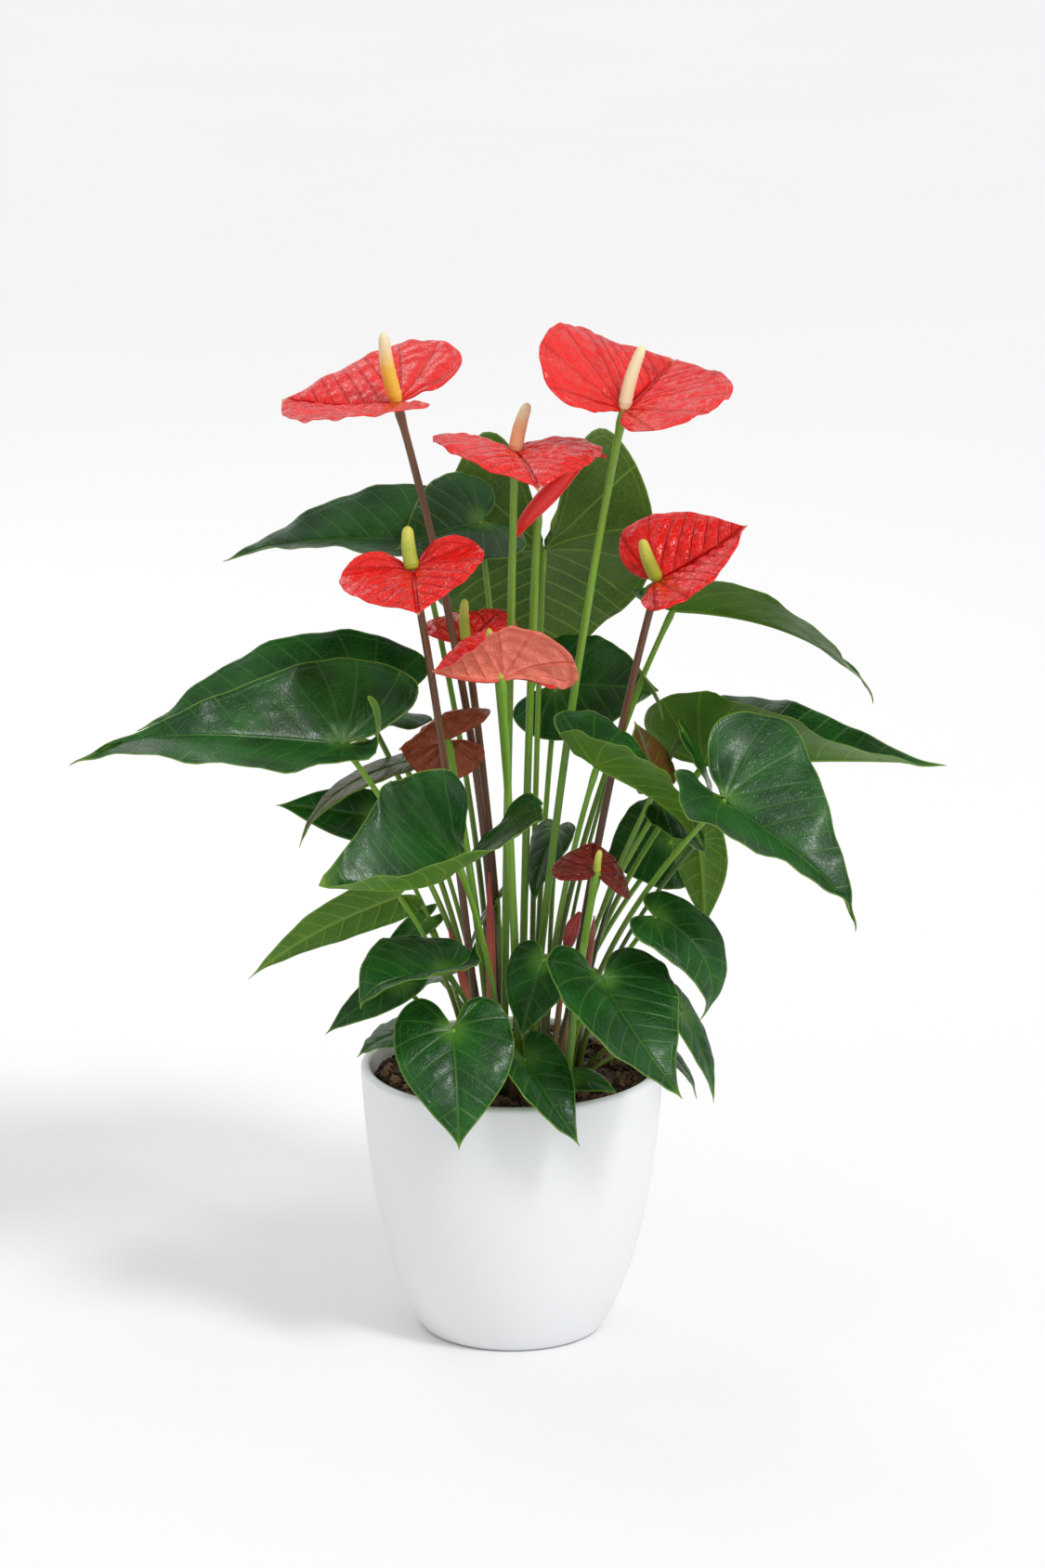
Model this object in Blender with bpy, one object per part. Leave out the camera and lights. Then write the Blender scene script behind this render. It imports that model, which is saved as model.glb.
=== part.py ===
"""A flowering anthurium in a round cover pot, standing on its flat bottom. Metres, +Z up."""

from math import cos, hypot, pi, radians, sin

import bmesh
import bpy
import numpy as np

CM = 0.01

# Driving sizes.
POT_HEIGHT = 0.173
POT_RIM_RADIUS = 0.095
POT_BASE_RADIUS = 0.056
POT_WALL = 0.0065
POT_FLOOR = 0.010
POT_STEPS = 36
SOIL_BELOW_RIM = 0.010
SOIL_DEPTH = 0.120
PLANT_WIDTH = 0.54
PLANT_RISE = 0.482
BLADE_THICKNESS = 0.0012
SPATHE_THICKNESS = 0.0012
GAP = 0.0003

# The sizes that the tables below were laid out at: rows scale from these to the driving sizes.
DRAWN_WIDTH = 0.54
DRAWN_RISE = 0.482
DRAWN_RIM = 0.095

SOIL_TOP = POT_HEIGHT - SOIL_BELOW_RIM
FOOT_LENGTH = 0.003
PETIOLE_RADIUS = 0.0019
PETIOLE_FOOT = 0.0026
JOINT_RADIUS = 0.0036
JOINT_HALF = 0.0042
JOINT_HOLE = 0.0024
STEM_RADIUS = 0.0022
NOTCH_RADIUS = 0.0052
SPADIX_CLEAR = 0.0035
RIB_STEPS = 40
TUBE_SIDES = 6

# Half outlines of a blade: how far along the midrib, and what share of the half width.
LEAF_EDGE = (
    (1.0, 0.0), (0.94, 0.04), (0.85, 0.17), (0.72, 0.41), (0.56, 0.67), (0.40, 0.87), (0.23, 0.98),
    (0.07, 1.0), (-0.08, 0.94), (-0.19, 0.77), (-0.25, 0.53), (-0.22, 0.30), (-0.13, 0.13), (-0.03, 0.03),
)
SPATHE_EDGE = (
    (1.0, 0.0), (0.95, 0.05), (0.86, 0.24), (0.72, 0.52), (0.50, 0.80), (0.26, 0.96), (0.02, 1.0),
    (-0.17, 0.88), (-0.27, 0.63), (-0.26, 0.36), (-0.17, 0.16),
)
TEMPLATE_LOBE = 0.25
EDGE_POINTS = 7
BLADE_RINGS = 2

# Leaves: name, attachment and tip (centimetres from the pot's axis and above the soil), full
# width in centimetres, where the stalk leaves the soil, and how the blade is turned and bent.
# Pairs are (left half, right half) as seen from the attachment towards the tip.
LEAVES = (
    ("upper_left", (-5.8, 5.5, 33.1), (-18, 5.5, 31.9), 9.0, (-1.1, 2.5),
     dict(roll=-22, droop=30, fold=25, curl=10, twist=20, slim=(0.3, 0.2))),
    ("upper_left_inner", (-2, 6, 34.2), (-7.2, 1.6, 33.6), 7.2, (0.5, 2.2), dict(roll=-40, droop=20, fold=25)),
    ("back_heart", (2, 10.6, 31.3), (1.4, 14.6, 21.1), 14.5, (1.2, 1.4), dict(lobe=0.7, lift=30)),
    ("back_centre", (2.8, 8, 23.2), (9.2, 6, 23.4), 7.5, (1.4, 2.4),
     dict(roll=50, droop=20, fold=5, lobe=0.4, blunt=0.2)),
    ("upper_right", (10, 3, 29.4), (22.6, 5, 22.8), 9.0, (1.9, 0.8),
     dict(droop=50, fold=(10, 48), curl=10, hook=30, slim=(1.0, -0.6), twist=30, lobe=0.15)),
    ("right_long", (12, 4.6, 18.9), (26.8, -2, 20.8), 11.5, (3.2, 1.3),
     dict(roll=10, droop=10, fold=(35, 88), twist=25, slim=(0.6, 0), lift=(30, 0), lobe=0.2)),
    ("right_front", (13, -7, 20), (21, -9, 12.2), 14.0, (3.6, -1.2),
     dict(roll=35, droop=80, late=4, fold=(15, 42), curl=10, lift=(10, 20), slim=(0.9, 1.1), blunt=(0.2, 0))),
    ("left_back", (-9.4, 3, 23.4), (-23.4, 3, 21.6), 10.8, (-1.9, 0.5),
     dict(roll=-22, fold=20, curl=0, slim=(0, 0.1))),
    ("left_front", (-10.4, -5, 23), (-27, -7, 22.2), 12.0, (-1.6, -0.5),
     dict(roll=-26, droop=50, late=3, fold=(20, 25), curl=0, lift=(80, 20), slim=(0.2, 1.0), pinch=(0.5, 0))),
    ("centre_left", (-3.2, -9, 16.4), (-11.6, -15, 17), 13.0, (-0.5, -2.8),
     dict(roll=-15, droop=10, fold=(50, 40), curl=0, sweep=0.2, lift=(25, 20), slim=(0.2, -0.2), fade=0,
          lobe=0.5, blunt=(0, 0.5))),
    ("left_hanging", (-7, -2, 12.4), (-16.4, -2, 7), 4.2, (-2.7, -0.3), dict(roll=60, lobe=0.1)),
    ("low_left_arched", (-4, -9, 9.6), (-9.2, -12, 8.2), 6.5, (-1.2, -3.4),
     dict(roll=-20, droop=110, late=4, fold=(50, 20), lift=(60, 0), slim=(0, -0.6), lobe=0.4)),
    ("low_left_back", (-7, -3, 7), (-11.6, -4, 4), 2.8, (-3.1, -1.2), dict(roll=-40)),
    ("rim_left", (-6, -5, 4.8), (-9.6, -6, 3.2), 5.0, (-2.8, -2.3), dict()),
    ("rim_heart", (-3.6, -10, 6.2), (-3.2, -14, -0.2), 7.4, (-2.1, -3.4), dict(droop=40)),
    ("rim_front_small", (0.8, -8.5, 3.8), (4.2, -12, -0.6), 4.8, (0.6, -4.0),
     dict(roll=25, droop=50, fold=(10, 50), sweep=-0.05)),
    ("low_centre", (2, -5, 9.2), (0.6, -7, 4.6), 4.5, (1.3, -3.1), dict(roll=-10, lobe=0.2)),
    ("low_right_heart", (5.6, -8, 8.8), (10.4, -13, 2.8), 8.5, (3.3, -3.3),
     dict(roll=15, droop=40, sweep=-0.08, fold=(10, 35), lobe=0.25)),
    ("low_right_arched", (8.8, -6.2, 12.3), (11.6, -7, 5.9), 5.0, (4.1, -1.9),
     dict(roll=30, droop=100, lobe=0.15, sweep=0.12)),
    ("rim_right_hanging", (10.6, -2, 4.8), (12.6, -3, -0.8), 3.0, (4.5, -0.8), dict()),
    ("centre_right_folded", (5.2, -5, 21.5), (11.8, -4.5, 16.3), 9.0, (1.8, -2.0),
     dict(roll=-10, fold=(52, 36), lobe=0.4, slim=(0.9, 0))),
    ("centre_right_glossy", (9.2, -2.2, 18.3), (12, -3.2, 15.2), 6.0, (2.8, -1.0), dict(lobe=0.1)),
    ("shade_right", (10, 5.5, 13.7), (5.6, 4.5, 12.5), 6.5, (2.9, 2.2), dict(roll=-50)),
    ("hanging_right", (11.6, -0.5, 15.5), (12, 1, 9.1), 3.5, (4.2, 0.0), dict()),
    ("curled_left", (-8.6, 3, 16), (-14.8, 3, 16.8), 3.5, (-2.7, 1.5), dict(roll=-60)),
    ("shade_centre", (2.8, 2, 15.6), (1.4, 0.3, 11.1), 4.5, (2.2, 2.8), dict(roll=20, lobe=0.1)),
    ("young_olive", (-6.7, 0.3, 20.3), (-13.2, -1.2, 15.3), 4.0, (-1.7, 1.5), dict(droop=60, lobe=0.1)),
    ("young_bronze", (9, -1.2, 19.2), (7.6, 0, 23.1), 3.8, (3.4, -0.3), dict(droop=0, lobe=0.05, slim=-0.6)),
    ("grey_right", (10.6, 1.3, 21.9), (12.6, 1.3, 16.4), 5.0, (4.0, 0.9), dict(lobe=0.1)),
)

# Flowers: name, attachment and tip of the spathe, full width, spathe shape, tip of the spadix
# (None where none shows), spadix radius in millimetres, where the stem leaves the soil, and how
# straight the stem is.
FLOWERS = (
    ("top_left", (-7, 0, 43.2), (-14, 2.5, 43), 12.5,
     dict(roll=-10, droop=-20, fold=(15, 17), curl=0, lobe=0.4, blunt=(0.5, 0.1)), (-7.8, -0.5, 47.8), 4.4,
     (-0.9, 0.9), 0.0),
    ("top_right", (6.8, -2, 43.2), (10, 4.5, 45), 13.5,
     dict(droop=-10, fold=(50, 15), curl=10, lobe=0.5, blunt=(0.4, 0.3)), (8, -1.5, 47.2), 4.0,
     (1.0, -1.2), 0.8),
    ("top_centre", (0.2, -2, 40.6), (1.6, -9, 40), 10.5, dict(droop=20, fold=(12, 22)), (1, -1.5, 43.6), 4.2,
     (-0.5, -0.4), 0.7),
    ("left", (-6, -6, 34.2), (-5.6, -11, 32.8), 9.0, dict(roll=12, droop=20, fold=5, curl=0, lift=40),
     (-6.3, -5.2, 36.8), 4.4, (-1.8, -1.6), 0.9),
    ("right", (9, 0, 32), (14.4, 0, 35.6), 9.0, dict(roll=30, droop=-20, fold=(28, 30), lobe=0.2),
     (8, -0.6, 34.8), 4.2, (3.0, 0.4), 0.9),
    ("back", (-2.8, 1.5, 27.6), (-0.6, 4.3, 29.2), 7.0, dict(droop=-10, fold=20, lobe=0.15), (-2.9, 1.9, 30.4),
     3.2, (-0.3, 1.7), 0.7),
    ("pink", (-0.6, -6, 27.3), (-4.8, -7, 28.3), 8.5,
     dict(droop=-20, fold=(75, 40), lobe=0.8, lift=-25), (-1.4, -5.2, 30.4), 3.0, (0.4, -2.1),
     0.7),
    ("bronze", (-4, -1.9, 22.4), (-7, -3, 22.2), 6.5,
     dict(droop=0, fold=(75, -50), curl=(50, 50), lobe=0.75), None, 0, (-1.1, -2.4), 0.7),
    ("low_small", (5.2, -7.5, 15.5), (5, -4.5, 16.7), 5.5, dict(droop=-20, fold=(10, -30)), (5.4, -7.9, 17.1),
     2.2, (3.4, -4.5), 0.7),
)

# The furled spathe and the small bud: points along each, in centimetres as above, and radii in millimetres.
FURLED_STEM_TOP = (1.6, 0, 36.4)
FURLED_STEM_ROOT = (0.6, 0.6)
FURLED_SPATHE = (
    (0.2, -0.6, 35, 2.0), (1.0, -0.6, 36.2, 4.6), (2.4, -0.6, 37.8, 6.0), (3.8, -0.6, 39.4, 4.8),
    (4.8, -0.6, 40.2, 2.4), (5.8, -0.6, 40.0, 0.8),
)
BUD = (
    (2.3, -3.8, 0.1, 1.8), (2.9, -3.6, 5.0, 1.6), (3.3, -3.2, 9.2, 1.6), (3.5, -3.2, 9.8, 4.0),
    (3.8, -3.2, 10.8, 4.4), (4.2, -3.2, 11.7, 1.2),
)

GREEN_LEAF = (0.012, 0.075, 0.016)
COLOURS = {
    "pot": (0.84, 0.85, 0.86, 0.32),
    "soil": (0.032, 0.017, 0.009, 0.95),
    "leaf_young_olive": (0.115, 0.090, 0.015, 0.40),
    "leaf_young_bronze": (0.130, 0.070, 0.016, 0.40),
    "leaf_back_heart": (0.055, 0.130, 0.014, 0.40),
    "spathe_pink": (0.790, 0.130, 0.090, 0.28),
    "spathe_bronze": (0.240, 0.050, 0.018, 0.28),
    "spathe_low_small": (0.200, 0.010, 0.008, 0.28),
    "spadix_top_left": (0.850, 0.560, 0.060, 0.50),
    "spadix_top_right": (0.860, 0.740, 0.480, 0.50),
    "spadix_top_centre": (0.850, 0.480, 0.270, 0.50),
    "stem_top_left": (0.130, 0.060, 0.020, 0.45),
    "stem_left": (0.110, 0.045, 0.020, 0.45),
    "stem_right": (0.090, 0.025, 0.014, 0.45),
}
KIND_COLOURS = {
    "leaf": GREEN_LEAF + (0.32,),
    "spathe": (0.740, 0.014, 0.010, 0.25),
    "spadix": (0.330, 0.400, 0.030, 0.50),
    "stem": (0.130, 0.240, 0.012, 0.45),
    "bud": (0.300, 0.040, 0.030, 0.40),
}


def clear_scene():
    for obj in list(bpy.data.objects):
        bpy.data.objects.remove(obj)


def painted(obj):
    """Gives a finished node its own material."""
    colour = COLOURS.get(obj.name, KIND_COLOURS.get(obj.name.split("_")[0]))
    material = bpy.data.materials.new(obj.name)
    material.use_nodes = True
    surface = material.node_tree.nodes["Principled BSDF"]
    surface.inputs["Base Color"].default_value = colour[:3] + (1.0,)
    surface.inputs["Roughness"].default_value = colour[3]
    surface.inputs["Metallic"].default_value = 0.0
    obj.data.materials.clear()
    obj.data.materials.append(material)
    return obj


def mesh_object(name, points, faces):
    mesh = bpy.data.meshes.new(name)
    mesh.from_pydata([tuple(p) for p in points], [], faces)
    mesh.update()
    obj = bpy.data.objects.new(name, mesh)
    bpy.context.collection.objects.link(obj)
    return obj


def baked(obj):
    """The object with its modifiers or curve turned into a plain, smooth-shaded mesh."""
    graph = bpy.context.evaluated_depsgraph_get()
    mesh = bpy.data.meshes.new_from_object(obj.evaluated_get(graph))
    name = obj.name
    bpy.data.objects.remove(obj)
    for polygon in mesh.polygons:
        polygon.use_smooth = True
    made = bpy.data.objects.new(name, mesh)
    bpy.context.collection.objects.link(made)
    return made


def outward(obj):
    """Closes up doubled points, splits bent quads and turns every face outwards."""
    cage = bmesh.new()
    cage.from_mesh(obj.data)
    bmesh.ops.remove_doubles(cage, verts=cage.verts, dist=1e-6)
    bmesh.ops.triangulate(cage, faces=cage.faces)
    bmesh.ops.recalc_face_normals(cage, faces=cage.faces)
    cage.to_mesh(obj.data)
    cage.free()
    return obj


def unit(vector):
    vector = np.asarray(vector, float)
    return vector / np.linalg.norm(vector)


def pair(value):
    return value if isinstance(value, tuple) else (value, value)


def placed(point, over_rim=False):
    """A table's point in metres from the pot's bottom centre."""
    spread = POT_RIM_RADIUS / DRAWN_RIM if over_rim else PLANT_WIDTH / DRAWN_WIDTH
    x, y, z = (CM * value for value in point[:3])
    return np.array((x * spread, y * spread, SOIL_TOP + z * PLANT_RISE / DRAWN_RISE))


def smooth_points(points, count):
    """A Catmull-Rom curve through the points."""
    given = np.array(points, float)
    given = np.vstack([2 * given[0] - given[1], given, 2 * given[-1] - given[-2]])
    found = []
    for step in np.linspace(0, len(given) - 3, count):
        first = min(int(step), len(given) - 4)
        f = step - first
        a, b, c, d = given[first:first + 4]
        found.append(0.5 * (2 * b + (c - a) * f + (2 * a - 5 * b + 4 * c - d) * f**2
                            + (3 * b - a - 3 * c + d) * f**3))
    return np.array(found)


def midrib(base, tip, shape):
    """Points along the midrib with their directions: forward, up out of the blade, and left."""
    chord = np.linalg.norm(tip - base)
    axis = (tip - base) / chord
    level = unit(np.array((0, 0, 1.0)) - axis[2] * axis)
    roll = radians(shape.get("roll", 0))
    up = level * cos(roll) + np.cross(axis, level) * sin(roll)
    left = np.cross(up, axis)
    along = np.linspace(0, 1, RIB_STEPS + 1)
    pitch = -radians(shape.get("droop", 30)) * along ** shape.get("late", 1.5)
    pitch -= radians(shape.get("hook", 0)) * np.clip((along - 0.85) / 0.15, 0, 1) ** 2
    middle = (pitch[1:] + pitch[:-1]) / 2
    run = np.concatenate([[0], np.cumsum(np.cos(middle))])
    rise = np.concatenate([[0], np.cumsum(np.sin(middle))])
    tilt = np.arctan2(rise[-1], run[-1])
    scale = chord / hypot(run[-1], rise[-1])
    ahead = (run * cos(tilt) + rise * sin(tilt)) * scale
    above = (rise * cos(tilt) - run * sin(tilt)) * scale
    aside = shape.get("sweep", 0) * chord * 4 * along * (1 - along)
    points = base + np.outer(ahead, axis) + np.outer(above, up) + np.outer(aside, left)
    forward = np.gradient(points, axis=0)
    forward /= np.linalg.norm(forward, axis=1)[:, None]
    out = np.outer(np.cos(pitch - tilt), up) - np.outer(np.sin(pitch - tilt), axis)
    out -= (out * forward).sum(1)[:, None] * forward
    out /= np.linalg.norm(out, axis=1)[:, None]
    side = np.cross(out, forward)
    turn = (radians(shape.get("twist", 0)) * along)[:, None]
    return along, points, forward, out * np.cos(turn) - side * np.sin(turn), \
        side * np.cos(turn) + out * np.sin(turn), scale * RIB_STEPS


def outline(edge, shape):
    """The blade's flat outline, from the right-hand side of the notch round the tip to the left."""
    half = smooth_points(edge, EDGE_POINTS)
    sides = []
    for blunt in pair(shape.get("blunt", 0)):
        one = half.copy()
        front = one[:, 0] > 0.07
        one[front, 1] = np.abs(one[front, 1]) ** (1 - blunt)
        sides.append(one)
    left, right = sides
    return np.vstack([left[::-1], (right * (1, -1))[1:]])


def across(distance, fold, curl):
    """How far out and up a point lies on a half that leaves the midrib at fold and bends by curl."""
    if abs(curl) < 1e-3:
        return distance * cos(fold), distance * sin(fold)
    return ((sin(fold) - sin(fold - curl * distance)) / curl,
            (cos(fold - curl * distance) - cos(fold)) / curl)


def blade_point(rib, half_width, shape, t, share):
    """The point at t along the midrib and at this share of the half width, + to the left."""
    along, points, forward, out, side, length = rib
    half = 0 if share >= 0 else 1
    sign = 1 - 2 * half
    lobe = shape.get("lobe", 0.3)
    if t < 0:
        t *= lobe / TEMPLATE_LOBE
    ahead = max(t, 0)
    distance = abs(share) * half_width * (1 - pair(shape.get("slim", 0))[half] * ahead)
    distance *= 1 - pair(shape.get("pinch", 0))[half] * min(max(1 - t / 0.3, 0), 1)
    fold = radians(pair(shape.get("fold", 10))[half]) * (1 - shape.get("fade", 0.6) * ahead**2)
    curl = radians(pair(shape.get("curl", 20))[half]) / half_width
    over, rise = across(distance, fold, curl)
    if t >= 0:
        place = np.array([np.interp(t, along, points[:, i]) for i in range(3)])
        up = unit([np.interp(t, along, out[:, i]) for i in range(3)])
        aside = unit([np.interp(t, along, side[:, i]) for i in range(3)])
        return place + aside * sign * over + up * rise
    lift = radians(pair(shape.get("lift", 0))[half]) * min(1, -t / lobe)
    back = out[0] * sin(lift) - forward[0] * cos(lift)
    up = out[0] * cos(lift) + forward[0] * sin(lift)
    return points[0] - back * t * length + side[0] * sign * over + up * rise


def blade(name, base, tip, width, shape, edge, thickness, notch):
    """A thickened blade: rings of points that run from the attachment out to the edge."""
    rib = midrib(base, tip, shape)
    rim = outline(edge, shape)
    half_width = width / 2
    rings = []
    for ring in range(BLADE_RINGS + 1):
        row = []
        for t, share in rim:
            reach = hypot(t * rib[5], share * half_width)
            inner = min(notch / reach, 0.8)
            f = inner + (1 - inner) * ring / BLADE_RINGS
            row.append(blade_point(rib, half_width, shape, t * f, share * f))
        rings.append(row)
    count = len(rim)
    points = [p for row in rings for p in row]
    faces = []
    for ring in range(BLADE_RINGS):
        a = ring * count
        faces += [(a + j, a + j + 1, a + count + j + 1, a + count + j) for j in range(count - 1)]
    sheet = mesh_object(name, points, faces)
    solid = sheet.modifiers.new("thickness", "SOLIDIFY")
    solid.thickness = thickness
    solid.offset = 0
    return outward(baked(sheet))


def tube(name, points, radii, sides=TUBE_SIDES):
    """A round stem along the points, with closed ends and a radius at each point."""
    data = bpy.data.curves.new(name, "CURVE")
    data.dimensions = "3D"
    spline = data.splines.new("POLY")
    spline.points.add(len(points) - 1)
    for target, point, radius in zip(spline.points, points, radii):
        target.co = (*point, 1)
        target.radius = radius
    data.bevel_depth = 1.0
    data.bevel_resolution = sides // 2 - 2
    data.use_fill_caps = True
    obj = bpy.data.objects.new(name, data)
    bpy.context.collection.objects.link(obj)
    return outward(baked(obj))


def bezier(a, b, c, d, count):
    t = np.linspace(0, 1, count)[:, None]
    return (1 - t)**3 * a + 3 * (1 - t)**2 * t * b + 3 * (1 - t) * t**2 * c + t**3 * d


def stem_line(root, end, lean, count):
    """A stem's centre line up from the soil; lean is 0 for one that starts upright and 1 for a
    straight one. The first short length is upright, so that the foot sits flat."""
    start = placed((*root, 0)) + (0, 0, GAP)
    knee = start + (0, 0, FOOT_LENGTH)
    way = end - knee
    low = knee + way * np.array((0.33 * lean, 0.33 * lean, 0.40))
    high = knee + way * np.array((0.55 + 0.12 * lean, 0.55 + 0.12 * lean, 0.76))
    return np.vstack([[start], bezier(knee, low, high, end, count)])


def leaf(name, base, tip, width, root, shape):
    """A blade and its stalk, joined into one solid."""
    over_rim = name.startswith("rim")
    base, tip = placed(base, over_rim), placed(tip, over_rim)
    scale = PLANT_WIDTH / DRAWN_WIDTH
    body = blade("leaf_" + name, base, tip, width * CM * scale, shape, LEAF_EDGE, BLADE_THICKNESS,
                 JOINT_HOLE)
    line = stem_line(root, base, 0.3, 6)
    arrive = unit(line[-1] - line[-2])
    ends = (-1.6, -1.0, 1.0, 1.5)
    line = np.vstack([line[:-1], [base + arrive * JOINT_HALF * step for step in ends]])
    radii = [PETIOLE_FOOT] + [PETIOLE_RADIUS] * 6 + [JOINT_RADIUS, JOINT_RADIUS, PETIOLE_RADIUS]
    stalk = tube("stalk", line, radii)
    join = body.modifiers.new("stalk", "BOOLEAN")
    join.operation = "UNION"
    join.solver = "MANIFOLD"
    join.object = stalk
    made = baked(body)
    bpy.data.objects.remove(stalk)
    return painted(made)


def spathe(name, base, tip, width, shape):
    scale = PLANT_WIDTH / DRAWN_WIDTH
    return painted(blade("spathe_" + name, placed(base), placed(tip), width * CM * scale, shape,
                         SPATHE_EDGE, SPATHE_THICKNESS, NOTCH_RADIUS))


def flower_stem(name, root, end, lean):
    line = stem_line(root, end, lean, 8)
    line[-1] -= unit(line[-1] - line[-2]) * GAP
    radii = [STEM_RADIUS * 1.2] + [STEM_RADIUS] * 7 + [STEM_RADIUS * 1.15]
    return painted(tube("stem_" + name, line, radii))


def spadix(name, base, tip, radius):
    """A finger-shaped spike with a rounded top, starting just clear of the stem."""
    base, tip = placed(base), placed(tip)
    base = base + unit(tip - base) * SPADIX_CLEAR
    profile = ((0, 0.55), (0.05, 0.85), (0.15, 1.0), (0.5, 0.95), (0.85, 0.8), (0.94, 0.68), (1, 0.3))
    points = [base + (tip - base) * t for t, _ in profile]
    return painted(tube("spadix_" + name, points, [radius * share for _, share in profile], 8))


def drawn_tube(name, rows):
    """A tube through a table's rows of x, y, height and radius in millimetres."""
    path = smooth_points([(*placed(row), row[3] / 1000) for row in rows], 2 * len(rows))
    return painted(tube(name, path[:, :3], path[:, 3], 8))


def pot():
    """A round cover pot, turned from its profile: outside from the rim to the foot, then inside."""
    rim, foot, wall = POT_RIM_RADIUS, POT_BASE_RADIUS, POT_WALL
    height = POT_HEIGHT
    profile = [
        (rim - wall * 0.5, height), (rim - wall * 0.2, height - wall * 0.12), (rim, height - wall * 0.5),
        (rim - (rim - foot) * 0.10, height * 0.70), (rim - (rim - foot) * 0.24, height * 0.48),
        (rim - (rim - foot) * 0.47, height * 0.26), (rim - (rim - foot) * 0.76, height * 0.09),
        (foot + 0.002, height * 0.012), (foot, 0), (0, 0), (0, POT_FLOOR), (foot - wall, POT_FLOOR + 0.002),
        (rim - (rim - foot) * 0.76 - wall, height * 0.11), (rim - (rim - foot) * 0.47 - wall, height * 0.27),
        (rim - (rim - foot) * 0.24 - wall, height * 0.48), (rim - (rim - foot) * 0.10 - wall, height * 0.70),
        (rim - wall, height - wall * 0.5), (rim - wall * 0.8, height - wall * 0.12),
    ]
    count = len(profile)
    shell = mesh_object("pot", [(r, 0, z) for r, z in profile], [])
    edges = [(i, (i + 1) % count) for i in range(count) if profile[i][0] or profile[(i + 1) % count][0]]
    shell.data.clear_geometry()
    shell.data.from_pydata([(r, 0, z) for r, z in profile], edges, [])
    screw = shell.modifiers.new("turn", "SCREW")
    screw.steps = POT_STEPS
    screw.render_steps = POT_STEPS
    screw.use_merge_vertices = True
    screw.merge_threshold = 1e-5
    return painted(outward(baked(shell)))


def inner_radius(z):
    """The radius of the pot's inside at this height."""
    spread = POT_RIM_RADIUS - POT_BASE_RADIUS
    heights = [0, 0.11, 0.27, 0.48, 0.70, 1.0]
    shares = [1.0, 0.76, 0.47, 0.24, 0.10, 0.0]
    share = np.interp(z / POT_HEIGHT, heights, shares)
    return POT_RIM_RADIUS - spread * share - POT_WALL


def soil():
    """The potting mix: a plug that follows the pot's inside, lumpy on top except at the crown."""
    around, levels = 28, 4
    rings = []
    for i in range(levels):
        z = SOIL_TOP - SOIL_DEPTH * (1 - i / (levels - 1))
        rings.append([(inner_radius(z) * cos(pi / POT_STEPS) - 2 * GAP, z)] * around)
    outer = rings[-1][0][0]
    for radius in (0.86 * outer, 0.68 * outer):
        row = []
        for j in range(around):
            turn = 2 * pi * j / around
            lump = 0.0020 * sin(7 * turn + 90 * radius) + 0.0014 * sin(11 * turn + 2)
            row.append((radius, SOIL_TOP + (lump if radius > 0.8 * outer else 0)))
        rings.append(row)
    points = []
    for row in rings:
        points += [(r * cos(2 * pi * j / around), r * sin(2 * pi * j / around), z)
                   for j, (r, z) in enumerate(row)]
    faces = [tuple(range(around))]
    for ring in range(len(rings) - 1):
        a = ring * around
        faces += [(a + j, a + (j + 1) % around, a + around + (j + 1) % around, a + around + j)
                  for j in range(around)]
    last = (len(rings) - 1) * around
    faces.append(tuple(range(last, last + around)))
    body = outward(mesh_object("soil", points, faces))
    for polygon in body.data.polygons:
        polygon.use_smooth = True
    return painted(body)


def main():
    clear_scene()
    pot()
    soil()
    for row in LEAVES:
        leaf(*row)
    for name, base, tip, width, shape, top, radius, root, lean in FLOWERS:
        spathe(name, base, tip, width, shape)
        flower_stem(name, root, placed(base), lean)
        if top:
            spadix(name, base, top, radius / 1000)
    flower_stem("furled", FURLED_STEM_ROOT, placed(FURLED_STEM_TOP), 0.5)
    drawn_tube("spathe_furled", FURLED_SPATHE)
    drawn_tube("bud_small", BUD)


main()
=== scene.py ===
"""A flowering anthurium in a white cover pot: its finished pieces, their materials and the studio."""

from math import cos, hypot, pi, radians, sin

import bpy
import numpy as np
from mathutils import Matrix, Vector


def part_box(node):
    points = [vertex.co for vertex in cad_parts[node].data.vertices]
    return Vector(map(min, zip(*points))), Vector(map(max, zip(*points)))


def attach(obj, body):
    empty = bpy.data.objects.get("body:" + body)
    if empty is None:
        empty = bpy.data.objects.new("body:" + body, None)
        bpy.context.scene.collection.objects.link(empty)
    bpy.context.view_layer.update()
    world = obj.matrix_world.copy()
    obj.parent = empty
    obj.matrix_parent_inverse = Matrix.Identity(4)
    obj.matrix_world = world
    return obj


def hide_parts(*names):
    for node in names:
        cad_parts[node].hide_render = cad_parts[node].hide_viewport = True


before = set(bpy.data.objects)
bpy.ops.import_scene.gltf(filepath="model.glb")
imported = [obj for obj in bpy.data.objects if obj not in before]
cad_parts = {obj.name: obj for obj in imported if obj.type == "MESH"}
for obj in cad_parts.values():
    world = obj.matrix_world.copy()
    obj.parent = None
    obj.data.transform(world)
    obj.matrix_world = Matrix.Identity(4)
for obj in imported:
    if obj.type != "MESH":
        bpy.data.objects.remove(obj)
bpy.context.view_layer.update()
POT_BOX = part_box("pot")

bl_info = {
    "name": "Potted Anthurium",
    "version": (1, 0, 0),
    "blender": (4, 5, 0),
    "location": "3D View > Sidebar > Anthurium",
    "description": "Builds a flowering anthurium in a round cover pot",
    "category": "Add Mesh",
}

CM = 0.01
SOIL_TOP = 0.163
RIB_STEPS = 60
TEMPLATE_LOBE = 0.25
LATERAL_LEAN = 0.62
ROOT = "root"

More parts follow.
